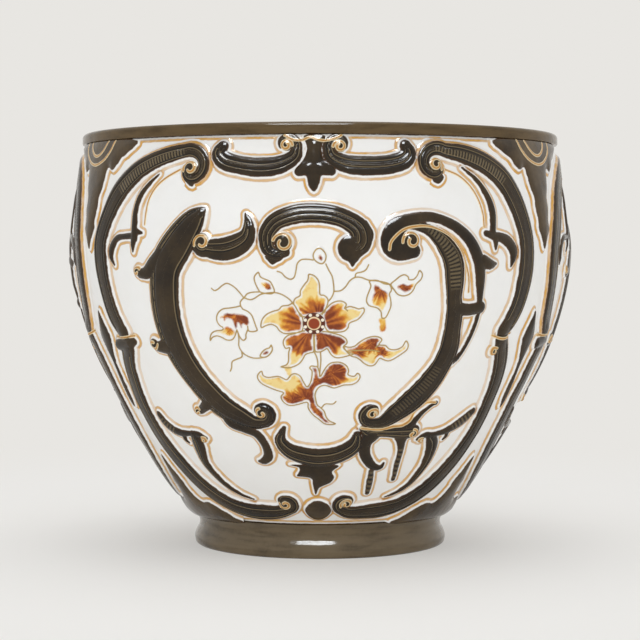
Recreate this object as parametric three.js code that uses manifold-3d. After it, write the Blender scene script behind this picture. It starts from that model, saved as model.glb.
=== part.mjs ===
// A jardiniere of glazed earthenware: a round bowl on a moulded foot, with a rolled rim and three equal
// panels of scrolls, leaves and drops in relief. Millimetres, +Z up, origin under the middle of the foot.
import * as THREE from 'three';
import { mergeVertices } from 'three/addons/utils/BufferGeometryUtils.js';
import Module from 'manifold-3d';

const wasm = await Module();
wasm.setup();
const { Manifold, Mesh: SolidMesh } = wasm;

// Bowl.
const overallHeight = 300;
const bellyRadius = 181.2;
const bellyHeight = 222;
const mouthRadius = 171.4;
const jointRadius = 93.5; // wall where it meets the foot
const flareAngle = 52.3; // rise of the wall from the foot, in degrees
const flareLength = 120; // how far the wall keeps that direction
const bellyUprightLength = 37; // upright stretch below the widest place
const shoulderUprightLength = 22; // upright stretch above it
const mouthLean = 2; // how far the wall leans out again at the mouth
const mouthLeanHeight = 8;
const wallThickness = 9.5;
const floorThickness = 14;

// Foot and rim.
const footHeight = 24;
const footRestRadius = 92.4;
const footBeadRadius = 92.9;
const footBeadHeight = 5;
const footNeckRadius = 89.2;
const footNeckHeight = 16;
const footNeckRound = 5; // hollow of the neck, above and below it
const footInnerRadius = 78;
const footRecess = 16; // floor of the bowl above the table
const rimHeight = 8;
const rimOverhang = 3.2; // rim band past the wall, outside
const rimRoll = 3; // rounding of the rim band

// Relief.
const seatGap = 0.3;
const panelCount = 3;
const ornamentFootGap = 2; // from the top of the foot to the lowest drawn place
const ornamentRimGap = 3.2; // from the top of the wall to the highest drawn place
const reliefHeight = 4.2;
const thinReliefHeight = 3;
const lobeReliefHeight = 2;
const edgeShare = 0.5; // height of a scroll's edge, of its crest
const slopeShare = 0.6; // greatest height of a scroll, of its width
const frontShare = 0.88; // width of a scroll's front, of its back
const narrowFrontShare = 0.6; // the same of a scroll one strip wide
const leastWidth = 1; // of a scroll, at its tip
const columnWidth = 14.6; // widest strip of a scroll's back
const sectionSpacing = 18; // distance between a scroll's sections
const leastSteps = 3; // sections of the shortest scroll, less one
const curlStep = 70; // degrees between a volute's sections
const eyeSides = 6;
const turnSteps = 48; // sides of the turned pieces
const outsideSteps = 11; // bands of the wall's outer face
const insideSteps = 6;
const bandGrowth = 0.55; // how much the wall's bands grow upwards

const wallTop = overallHeight - rimHeight - seatGap;
const wallBottom = footHeight + seatGap;

// The ornament is drawn as [degrees round the pot, height, width]. Degrees run to the right as the panel is
// seen from outside, and the middle of the panel is at drawnMiddle. Heights and widths are stretched together,
// so that the drawing fills the wall from foot to rim.
const drawnMiddle = -1.7;

const white = { color: 0xf0f0ee, roughness: 0.22, metalness: 0 };
const olive = { color: 0x54483a, roughness: 0.25, metalness: 0 };
const umber = { color: 0x3e3428, roughness: 0.25, metalness: 0 };

const lowerWall = new THREE.CubicBezierCurve(
  new THREE.Vector2(jointRadius, footHeight),
  new THREE.Vector2(
    jointRadius + flareLength * Math.cos(THREE.MathUtils.degToRad(flareAngle)),
    footHeight + flareLength * Math.sin(THREE.MathUtils.degToRad(flareAngle)),
  ),
  new THREE.Vector2(bellyRadius, bellyHeight - bellyUprightLength),
  new THREE.Vector2(bellyRadius, bellyHeight),
);
const upperWall = new THREE.CubicBezierCurve(
  new THREE.Vector2(bellyRadius, bellyHeight),
  new THREE.Vector2(bellyRadius, bellyHeight + shoulderUprightLength),
  new THREE.Vector2(mouthRadius - mouthLean, overallHeight - mouthLeanHeight),
  new THREE.Vector2(mouthRadius, overallHeight),
);

// The value between two others at which a test stops holding.
function turningPoint(low, high, holds) {
  for (let i = 0; i < 32; i += 1) {
    const middle = (low + high) / 2;
    if (holds(middle)) low = middle;
    else high = middle;
  }
  return low;
}

// Radius, upward tangent and outward normal of the wall's outer face at a height.
function wallAt(z) {
  const curve = z < bellyHeight ? lowerWall : upperWall;
  const place = turningPoint(0, 1, (middle) => curve.getPoint(middle).y < z);
  const tangent = curve.getTangent(place);
  return { radius: curve.getPoint(place).x, tangent, normal: new THREE.Vector2(tangent.y, -tangent.x) };
}

// A point of the relief over the wall: lift 0 is its seat, which clears the wall by seatGap also half way
// between two sections, where a flat back comes closest to the round wall.
function onWall(angle, z, lift) {
  const { radius, normal } = wallAt(z);
  const turn = THREE.MathUtils.degToRad(angle);
  const sag = sectionSpacing ** 2 / (8 * radius);
  const rise = seatGap + sag + lift;
  const out = radius + normal.x * rise;
  return new THREE.Vector3(out * Math.sin(turn), -out * Math.cos(turn), z + normal.y * rise);
}

// How much the drawing is enlarged, and the height on the wall of a height in the drawing.
function drawingScale() {
  return (wallTop - ornamentRimGap - footHeight - ornamentFootGap) / (drawnHighest - drawnLowest);
}

function builtHeight(z) {
  return footHeight + ornamentFootGap + (z - drawnLowest) * drawingScale();
}

// Turned pieces.

function turned(profile) {
  const points = profile.map(([radius, z]) => new THREE.Vector2(radius, z));
  const geometry = new THREE.LatheGeometry(points, turnSteps);
  geometry.rotateX(Math.PI / 2);
  geometry.rotateZ(Math.PI);
  return toSolid(geometry);
}

// Height on the outer face from which the wall's thickness, square to the face, reaches a height inside.
function outerHeightFor(innerHeight) {
  const reach = (z) => z - wallAt(z).normal.y * wallThickness;
  return turningPoint(footHeight, overallHeight, (z) => reach(z) < innerHeight);
}

// Heights of the wall's bands, which grow upwards.
function bandHeights(bottom, top, count) {
  return Array.from({ length: count + 1 }, (_, i) => {
    const share = i / count;
    return bottom + (top - bottom) * share * (1 - bandGrowth + bandGrowth * share);
  });
}

function wallProfile() {
  const floorTop = footRecess + floorThickness;
  const outside = bandHeights(wallBottom, wallTop, outsideSteps).map((z) => [wallAt(z).radius, z]);
  const inside = bandHeights(floorTop, wallTop, insideSteps).reverse().map((z) => {
    const { radius, normal } = wallAt(outerHeightFor(z));
    return [radius - normal.x * wallThickness, z];
  });
  return [
    [0, footRecess],
    [footInnerRadius - seatGap, footRecess],
    [footInnerRadius - seatGap, wallBottom],
    ...outside,
    ...inside,
    [0, floorTop],
  ];
}

function footProfile() {
  return [
    [footInnerRadius, 0],
    [footRestRadius, 0],
    [footBeadRadius, footBeadHeight],
    [THREE.MathUtils.lerp(footNeckRadius, footBeadRadius, 0.25), footNeckHeight - footNeckRound],
    [footNeckRadius, footNeckHeight],
    [THREE.MathUtils.lerp(footNeckRadius, jointRadius, 0.35), footNeckHeight + footNeckRound],
    [jointRadius, footHeight],
    [footInnerRadius, footHeight],
    [footInnerRadius, 0],
  ];
}

function rimProfile() {
  const inner = mouthRadius - mouthLean - wallThickness;
  const outer = mouthRadius + rimOverhang;
  const bottom = overallHeight - rimHeight;
  return [
    [inner, bottom],
    [outer - rimRoll / 2, bottom],
    [outer, bottom + rimRoll / 2],
    [outer, overallHeight - rimRoll],
    [outer - rimRoll, overallHeight],
    [inner + rimRoll, overallHeight],
    [inner, overallHeight - rimRoll],
    [inner, bottom],
  ];
}

// Relief.

// A scroll: a path of [degrees, height, width], drawn smoothly, and perhaps a volute at its end, which
// winds round its eye through curl.turn degrees (clockwise if negative) and narrows to curl.width.
function sections({ path, curl }) {
  const toPlane = 3; // drawn millimetres in a degree, near enough to space the sections
  const curve = new THREE.CatmullRomCurve3(
    path.map(([angle, z, width]) => new THREE.Vector3(angle * toPlane, z, width)),
    false,
    'centripetal',
  );
  const count = Math.max(leastSteps, Math.round((curve.getLength() * drawingScale()) / sectionSpacing));
  const list = curve.getSpacedPoints(count).map((p) => ({
    angle: p.x / toPlane - drawnMiddle,
    z: builtHeight(p.y),
    width: Math.max(p.z * drawingScale(), leastWidth),
  }));
  return curl ? list.concat(volute(list[list.length - 1], curl)) : list;
}

function volute(start, { eye, turn, radius, width }) {
  const centre = { angle: eye[0] - drawnMiddle, z: builtHeight(eye[1]) };
  const perDegree = THREE.MathUtils.degToRad(wallAt(centre.z).radius);
  const across = (start.angle - centre.angle) * perDegree;
  const up = start.z - centre.z;
  const startRadius = Math.hypot(across, up);
  const startAngle = Math.atan2(up, across);
  const endReach = radius * drawingScale();
  const endWidth = width * drawingScale();
  const steps = Math.ceil(Math.abs(turn) / curlStep);
  const list = [];
  for (let i = 1; i <= steps; i += 1) {
    const share = i / steps;
    const reach = THREE.MathUtils.lerp(startRadius, endReach, share);
    const heading = startAngle + THREE.MathUtils.degToRad(turn) * share;
    list.push({
      angle: centre.angle + (reach * Math.cos(heading)) / perDegree,
      z: centre.z + reach * Math.sin(heading),
      width: THREE.MathUtils.lerp(start.width, endWidth, share),
    });
  }
  return list;
}

// The outline of one section: its back on the wall, its front raised.
function outline(list, index, columns, height) {
  const here = list[index];
  const before = list[Math.max(index - 1, 0)];
  const after = list[Math.min(index + 1, list.length - 1)];
  const { radius, tangent } = wallAt(here.z);
  const across = THREE.MathUtils.degToRad(after.angle - before.angle) * radius;
  const up = (after.z - before.z) / tangent.y;
  const length = Math.hypot(across, up);
  const place = (share, lift) => {
    const shift = (share * here.width) / 2;
    const angle = here.angle + THREE.MathUtils.radToDeg((shift * up) / length / radius);
    const z = here.z - (shift * across * tangent.y) / length;
    return onWall(angle, THREE.MathUtils.clamp(z, wallBottom, wallTop), lift);
  };
  const back = [];
  const front = [];
  const frontWidth = columns === 1 ? narrowFrontShare : frontShare;
  const rise = Math.min(height, here.width * slopeShare);
  for (let i = 0; i <= columns; i += 1) {
    const share = (2 * i) / columns - 1;
    const dome = 1 - share * share * (columns === 1 ? 0.2 : 1);
    back.push(place(share, 0));
    front.push(place(share * frontWidth, rise * (edgeShare + (1 - edgeShare) * dome)));
  }
  return { back, front };
}

function strip(first, second) {
  const count = first.back.length;
  const points = [...first.back, ...first.front, ...second.back, ...second.front];
  const faces = [];
  const quad = (a, b, c, d) => faces.push(a, c, b, a, d, c);
  const front = count;
  const next = 2 * count;
  for (let i = 0; i + 1 < count; i += 1) {
    quad(i, i + 1, next + i + 1, next + i);
    quad(front + i, next + front + i, next + front + i + 1, front + i + 1);
    quad(i, front + i, front + i + 1, i + 1);
    quad(next + i, next + i + 1, next + front + i + 1, next + front + i);
  }
  quad(0, next, next + front, front);
  quad(count - 1, front + count - 1, next + front + count - 1, next + count - 1);
  return solidFrom(points.flatMap((p) => [p.x, p.y, p.z]), faces);
}

function scroll(stroke) {
  const list = sections(stroke);
  const widest = Math.max(...list.map((section) => section.width));
  const columns = Math.ceil(widest / columnWidth);
  const outlines = list.map((_, i) => outline(list, i, columns, stroke.height ?? reliefHeight));
  const parts = [];
  for (let i = 0; i + 1 < outlines.length; i += 1) parts.push(strip(outlines[i], outlines[i + 1]));
  return Manifold.union(parts);
}

// The round eye of a volute: a low dome.
function eye([angle, z, radius]) {
  const centreAngle = angle - drawnMiddle;
  const centreHeight = builtHeight(z);
  const wall = wallAt(centreHeight);
  const perDegree = THREE.MathUtils.degToRad(wall.radius);
  const size = radius * drawingScale();
  const points = [onWall(centreAngle, centreHeight, 0)];
  const rings = [[1, 0], [0.75, 0.8]];
  for (const [reach, rise] of rings) {
    for (let i = 0; i < eyeSides; i += 1) {
      const heading = (2 * Math.PI * i) / eyeSides;
      const across = reach * size * Math.cos(heading);
      const up = reach * size * Math.sin(heading) * wall.tangent.y;
      points.push(onWall(centreAngle + across / perDegree, centreHeight + up, rise * reliefHeight));
    }
  }
  points.push(onWall(centreAngle, centreHeight, reliefHeight));
  const top = points.length - 1;
  const faces = [];
  for (let i = 0; i < eyeSides; i += 1) {
    const a = 1 + i;
    const b = 1 + ((i + 1) % eyeSides);
    faces.push(0, b, a, a, b, b + eyeSides, a, b + eyeSides, a + eyeSides, a + eyeSides, b + eyeSides, top);
  }
  return solidFrom(points.flatMap((p) => [p.x, p.y, p.z]), faces);
}

// Solids and meshes.

function solidFrom(positions, faces) {
  const mesh = new SolidMesh({
    numProp: 3,
    vertProperties: new Float32Array(positions),
    triVerts: new Uint32Array(faces),
  });
  mesh.merge();
  return new Manifold(mesh);
}

function toSolid(geometry) {
  geometry.deleteAttribute('normal');
  geometry.deleteAttribute('uv');
  const merged = mergeVertices(geometry, 1e-4);
  const faces = Array.from(merged.index.array);
  const whole = [];
  for (let i = 0; i < faces.length; i += 3) {
    const [a, b, c] = faces.slice(i, i + 3);
    if (a !== b && b !== c && c !== a) whole.push(a, b, c);
  }
  return solidFrom(Array.from(merged.attributes.position.array), whole);
}

function toMesh(name, solid, finish) {
  const { vertProperties, triVerts } = solid.getMesh();
  const geometry = new THREE.BufferGeometry();
  geometry.setAttribute('position', new THREE.BufferAttribute(vertProperties, 3));
  geometry.setIndex(new THREE.BufferAttribute(triVerts, 1));
  geometry.computeVertexNormals();
  const mesh = new THREE.Mesh(geometry, new THREE.MeshStandardMaterial({ ...finish, flatShading: true }));
  mesh.name = name;
  return mesh;
}

// The drawn ornament.

const thin = thinReliefHeight;
const ornaments = {
  frame_upper_left: {
    strokes: [{
      path: [[-51.8, 160, 12.5], [-54.4, 175, 15.5], [-55.7, 205, 17], [-55, 230, 16.5],
        [-50.2, 253.5, 17.5],
        [-42, 272.5, 13], [-35, 279, 11], [-30, 282, 9]],
      curl: { eye: [-29, 270.3], turn: -235, radius: 4.5, width: 6 },
    }],
    eyes: [[-28.8, 269.6, 6.6]],
  },
  frame_upper_right: {
    strokes: [{
      path: [[46.3, 161.5, 12], [49.4, 177, 15.5], [50.7, 205, 17.5], [49.3, 232, 17], [46, 256, 18],
        [38.5, 273.5, 15], [32.5, 279.5, 12.5], [27, 281.5, 9.5]],
      curl: { eye: [26, 271], turn: 230, radius: 4.5, width: 6 },
    }],
    eyes: [[25.6, 272, 5.8]],
  },
  frame_lower_left: {
    strokes: [
      {
        path: [[-51.5, 152, 15], [-54, 134, 14], [-55.3, 108, 15], [-54, 85, 16], [-49.8, 63.5, 16.5],
          [-42.5, 46.5, 15], [-33, 37, 14], [-22, 34.8, 14.5], [-14.5, 36, 11], [-10.6, 38, 9]],
        curl: { eye: [-12.6, 42.6], turn: 190, radius: 4, width: 4.5 },
      },
      { path: [[-56.2, 153.5, 4], [-53.8, 153.5, 7.4], [-50.4, 153.5, 7.4], [-48, 153.5, 4]] },
    ],
    eyes: [[-12.6, 42.4, 4.2]],
  },
  frame_lower_right: {
    strokes: [{
      path: [[46.4, 156, 12.5], [48.8, 140, 14.5], [50, 112, 13.5], [49.2, 88, 14], [45.5, 64, 16],
        [37.5, 46.5, 15], [28, 37.5, 14.5], [18, 35.5, 13], [11.5, 35.4, 10.5], [7.8, 38, 8]],
      curl: { eye: [9.5, 42.4], turn: -190, radius: 3.6, width: 4.5 },
    }],
    eyes: [[9.5, 42.4, 4]],
  },
  branch_left: {
    strokes: [
      { path: [[-36.5, 268.5, 2], [-42.3, 252, 4.5], [-43.4, 240, 5.3],
        [-43.2, 223.5, 6.5]], height: thin },
      { path: [[-43, 226, 4], [-46.8, 225, 4], [-50, 222, 5.5], [-51.4, 213.5, 5.5],
        [-50.8, 206, 2]], height: thin },
      { path: [[-43.3, 227, 6], [-43.8, 219.5, 5], [-43.8, 214, 2]], height: thin },
    ],
  },
  branch_right: {
    strokes: [
      { path: [[33, 269.5, 2], [38.5, 252, 5], [39.6, 240, 6], [39.4, 228, 5.5]], height: thin },
      { path: [[38, 226.5, 5], [41, 224.8, 6], [44.4, 221, 8], [46, 214.5, 8],
        [45.4, 205.5, 3]], height: thin },
    ],
  },
  lower_leaf_left: {
    strokes: [
      { path: [[-49.6, 102, 6], [-46.5, 96, 8], [-43.5, 93, 6.5], [-40, 91, 5],
        [-38.4, 78, 8]], height: thin },
      { path: [[-33.6, 87.6, 2], [-36.6, 88, 7], [-38.6, 80, 10.5], [-38.6, 68, 7], [-35.5, 56, 4.5],
        [-27.5, 45, 2]],
        height: thin },
    ],
  },
  lower_leaf_right: {
    strokes: [
      { path: [[44.5, 103.5, 7], [42, 98, 9], [39.5, 95, 6.5], [36.4, 91.6, 5],
        [35, 78, 8]], height: thin },
      { path: [[29.8, 89.4, 2], [32.8, 88.6, 6.5], [35.1, 81, 9.5], [34.6, 69, 7.5], [31.8, 56.5, 4.5],
        [25.5, 47.7, 2]],
        height: thin },
    ],
  },
  cartouche_left: {
    strokes: [
      {
        path: [[-25.8, 242.3, 2], [-28.5, 234.6, 15.5], [-33.9, 210, 23], [-35.7, 178, 24],
          [-34.4, 150, 22],
          [-30.8, 128, 20], [-25, 111, 19], [-18.6, 102, 12.5], [-15.6, 100.6, 9]],
        curl: { eye: [-15.4, 107.6], turn: 200, radius: 4.2, width: 4.5 },
      },
      { path: [[-37, 211, 12], [-40.6, 206.5, 8], [-44, 201.5, 2]] },
      { path: [[-37, 152, 14], [-40.2, 152.2, 9], [-43.3, 152, 2]] },
      { path: [[-27.5, 117, 10], [-32.6, 110, 6.5], [-35.8, 106.5, 2]] },
      { path: [[-25.6, 109, 8], [-22.6, 98.5, 7], [-17.5, 92.5, 6.5], [-15.5, 84, 6], [-15.4, 76.5, 7],
        [-17, 72.5, 5]] },
    ],
    eyes: [[-15.3, 107.6, 5]],
  },
  cartouche_hook: {
    strokes: [{
      path: [[-15.2, 237, 1.5], [-14.9, 226.5, 8.5], [-17.3, 218.8, 13], [-21, 216.2, 12.5],
        [-24.3, 214.8, 8.5]],
    }],
    eyes: [[-25.2, 219.6, 5]],
  },
  cartouche_crest: {
    strokes: [{
      path: [[-8.4, 214.8, 4], [-10.4, 216.4, 6.5], [-11, 228, 9], [-8, 236, 11.5], [-2, 239.7, 12.5],
        [4.5, 236.5, 12],
        [8, 228.5, 13.5], [7.6, 220.5, 13]],
    }],
    eyes: [[-7.6, 220, 5.2], [6.6, 216.5, 6.5]],
  },
  cartouche_right: {
    strokes: [
      {
        path: [[18.6, 214.6, 8], [15.6, 216.4, 13], [14.7, 223, 15], [16.2, 231, 12], [19.6, 236.2, 8],
          [24, 237.5, 6],
          [29, 232.5, 6.5], [33, 221.5, 8.5], [35.6, 207, 9.5], [36.6, 188, 6], [37.2, 174, 3.5],
            [36.4, 158, 3.5],
          [33.4, 141, 2.5]],
      },
      {
        path: [[17, 233.6, 6], [21.5, 232.6, 8], [25.6, 225, 11.5], [28.8, 208, 15.5], [29.8, 185, 12],
          [30.5, 160, 13.8],
          [29.8, 140, 16], [26.6, 124, 18.5], [22, 111, 18.5], [16.6, 101.4, 10], [14, 99.8, 7.5]],
        curl: { eye: [13.4, 107], turn: -200, radius: 4, width: 4.5 },
      },
      { path: [[31.5, 177, 6], [34, 177, 5], [36.6, 177, 5]] },
      { path: [[36, 209, 9], [38.6, 206.6, 7], [41, 206.5, 2]] },
      { path: [[31.5, 147.5, 6], [33.6, 144.5, 4], [34.6, 147.5, 3]] },
      { path: [[13.8, 105.5, 6], [14.6, 93.5, 6], [19.5, 93.8, 7.5], [25.5, 92.6, 8]] },
      { path: [[14.4, 99, 6], [12.6, 84, 6.3], [14.4, 73.5, 6.3], [17, 68, 3]] },
    ],
    eyes: [[18.9, 221.6, 6], [13.4, 107.4, 5]],
  },
  cartouche_basin: {
    strokes: [
      { path: [[-9.8, 97, 3], [-11, 89, 8], [-8.6, 81.4, 12], [-4, 77.6, 14.5], [0, 76.6, 15],
        [5, 78.6, 14],
        [9, 84.5, 11.5], [9.6, 92.5, 5]] },
      { path: [[-1.9, 74, 32], [-1.6, 69, 27], [-1, 64, 19], [0, 58.5, 12], [-1.2, 53.5, 6],
        [-1.6, 49, 1.5]],
        height: thin },
    ],
  },
  base_bead: {
    strokes: [{ path: [[-5.2, 37.3, 3], [-3.4, 37.3, 12], [-0.8, 37.3, 16.6], [1.8, 37.3, 12],
      [3.6, 37.3, 3]] }],
  },
  rim_garland: {
    strokes: [
      { path: [[-22.6, 287, 5], [-22.2, 277, 11], [-18, 271.6, 12], [-13, 269.5, 13], [-8.5, 271.5, 12],
        [-5.4, 277.5, 9], [-5.2, 284.5, 6]] },
      { path: [[2, 284.5, 5], [2.4, 277, 8.5], [6, 271.6, 12], [10.5, 270.4, 13], [15, 271.6, 13],
        [18.8, 276.5, 11],
        [19.4, 287, 5]] },
      { path: [[-1.2, 288, 11], [-1.5, 280, 9.5], [-1.2, 271.5, 17], [-1.5, 265, 15], [-1.3, 258, 7],
        [-1.3, 253.5, 1.5]] },
      { path: [[-24, 287.6, 4.5], [-12, 287.6, 6.5], [-1.3, 287.6, 6.5], [10, 287.6, 6.5],
        [21, 287.6, 4.5]],
        height: lobeReliefHeight },
    ],
    eyes: [[-7, 283.8, 4.6], [4.1, 283.8, 4.6]],
  },
  rim_leaf: {
    strokes: [{
      path: [[58.3, 288.5, 92], [58.3, 281, 74], [58.3, 271, 42], [58.3, 260, 26], [58.3, 246, 19],
        [58.3, 232, 15],
        [58.3, 218, 1.5]],
    }],
  },
  spear_drop: {
    strokes: [{
      path: [[58.3, 173.5, 1.5], [58.3, 165, 10], [58.3, 154, 16], [58.3, 144, 11], [58.3, 136, 5.6],
        [58.3, 108, 5]],
    }],
  },
  foot_leaf: {
    strokes: [{
      path: [[58.3, 70, 1.5], [58.3, 60, 10], [58.3, 50, 17], [58.3, 41, 24], [58.3, 36.5, 48],
        [58.3, 31, 70],
        [58.3, 26, 84]],
    }],
  },
};

const drawnPaths = Object.values(ornaments).flatMap(({ strokes }) => strokes.map(({ path }) => path));
const drawnHeights = drawnPaths.flatMap((path) => path.map((point) => point[1]));
const drawnLowest = Math.min(...drawnHeights);
const drawnHighest = Math.max(...drawnHeights);

const finishes = { rim_band: olive, foot_ring: olive, foot_leaf: olive, rim_leaf: olive, base_bead: olive };

function ornamentSolid({ strokes, eyes = [] }) {
  return Manifold.union([...strokes.map(scroll), ...eyes.map(eye)]);
}

function panel(number) {
  const group = new THREE.Group();
  for (const [name, drawing] of Object.entries(ornaments)) {
    group.add(toMesh(`${name}_${number}`, ornamentSolid(drawing), finishes[name] ?? umber));
  }
  group.rotation.z = (2 * Math.PI * (number - 1)) / panelCount;
  return group;
}

const jardiniere = new THREE.Group();
jardiniere.add(toMesh('pot_wall', turned(wallProfile()), white));
jardiniere.add(toMesh('foot_ring', turned(footProfile()), olive));
jardiniere.add(toMesh('rim_band', turned(rimProfile()), olive));
for (let number = 1; number <= panelCount; number += 1) jardiniere.add(panel(number));

export default jardiniere;
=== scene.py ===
import math

import bpy
import numpy as np
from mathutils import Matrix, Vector


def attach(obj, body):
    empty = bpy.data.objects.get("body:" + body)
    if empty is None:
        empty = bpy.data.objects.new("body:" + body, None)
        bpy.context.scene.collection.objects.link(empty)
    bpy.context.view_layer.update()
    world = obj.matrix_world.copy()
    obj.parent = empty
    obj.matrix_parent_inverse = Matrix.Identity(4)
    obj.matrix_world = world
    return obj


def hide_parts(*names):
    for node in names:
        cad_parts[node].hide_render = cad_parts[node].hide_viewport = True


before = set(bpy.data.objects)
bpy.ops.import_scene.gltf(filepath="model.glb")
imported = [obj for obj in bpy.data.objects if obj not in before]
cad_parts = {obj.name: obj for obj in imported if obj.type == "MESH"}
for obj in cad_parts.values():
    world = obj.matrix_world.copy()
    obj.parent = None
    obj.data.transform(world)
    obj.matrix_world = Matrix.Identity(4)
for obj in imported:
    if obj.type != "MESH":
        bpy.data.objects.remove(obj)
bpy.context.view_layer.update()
mm = 0.001

# The pot's outline. Lengths in millimetres, angles in degrees. The wall is white between "glazeBottom" and
# "glazeTop"; "lap" is how far a skin runs on under its neighbour, "floorCurve" the inner corner by the floor.
pot = {
    "height": 300, "bellyRadius": 181.2, "bellyHeight": 222, "mouthRadius": 171.4, "jointRadius": 93.5,
    "flareAngle": 52.3, "flareLength": 120, "bellyFullness": 37, "shoulderFullness": 22,
    "mouthLean": 2, "mouthLeanHeight": 8, "wall": 9.5, "footHeight": 24, "rimHeight": 8,
    "footRecess": 16, "floorTop": 30, "footInner": 78, "sides": 192, "lap": 0.2,
    "glazeBottom": 25.2, "glazeTop": 291.6, "floorCurve": [(3.2, 5.2), (8, 2), (16, 0.3), (24, 0)],
}
panels = {"count": 3, "drawnMiddle": -1.7}


def bezier(points, share):
    a, b, c, d = (np.array(p, float) for p in points)
    t = share[:, None]
    return (1 - t) ** 3 * a + 3 * t * (1 - t) ** 2 * b + 3 * t ** 2 * (1 - t) * c + t ** 3 * d


def makeOutline():
    share = np.linspace(0, 1, 400)
    turn = math.radians(pot["flareAngle"])
    footR, footZ = pot["jointRadius"], pot["footHeight"]
    bellyR, bellyZ = pot["bellyRadius"], pot["bellyHeight"]
    flare = (footR + pot["flareLength"] * math.cos(turn), footZ + pot["flareLength"] * math.sin(turn))
    lower = bezier([(footR, footZ), flare, (bellyR, bellyZ - pot["bellyFullness"]), (bellyR, bellyZ)], share)
    mouth = (pot["mouthRadius"] - pot["mouthLean"], pot["height"] - pot["mouthLeanHeight"])
    upper = bezier([(bellyR, bellyZ), (bellyR, bellyZ + pot["shoulderFullness"]), mouth,
                    (pot["mouthRadius"], pot["height"])], share)
    line = np.vstack([lower, upper[1:]])
    step = np.gradient(line, axis=0)
    length = np.hypot(step[:, 0], step[:, 1])
    arc = np.concatenate([[0], np.cumsum(np.hypot(*np.diff(line, axis=0).T))])
    return {"radius": line[:, 0], "z": line[:, 1], "arc": arc,
            "out": step[:, 1] / length, "down": -step[:, 0] / length}


outline = makeOutline()


def arcAt(z):
    return np.interp(z, outline["z"], outline["arc"])


def wallAt(arc):
    return [np.interp(arc, outline["arc"], outline[label]) for label in ("radius", "z", "out", "down")]


def onWall(angle, arc, lift):
    # angle in degrees round the pot, arc in mm up its wall, lift in mm off it; gives metres
    radius, z, out, down = wallAt(arc)
    reach = radius + out * lift
    turn = np.radians(angle)
    return np.stack([reach * np.sin(turn), -reach * np.cos(turn), z + down * lift], axis=-1) * mm


def degreeAt(arc):
    # length in mm of one degree round the wall
    return np.radians(np.interp(arc, outline["arc"], outline["radius"]))


def laid(points):
    # drawn (degrees, height, ...) as (degrees from the panel's middle, mm up the wall, ...)
    return [(a - panels["drawnMiddle"], arcAt(z), *rest) for a, z, *rest in points]


def whiteFrom(arc):
    # distance into the dark glaze of rim or foot when below 0, else into the white of the wall
    return np.minimum(arcAt(pot["glazeTop"]) - arc, arc - arcAt(pot["glazeBottom"]))


def mirrored(axis, half):
    return half + [(2 * axis - a, z) for a, z in reversed(half) if a != axis]


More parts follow.
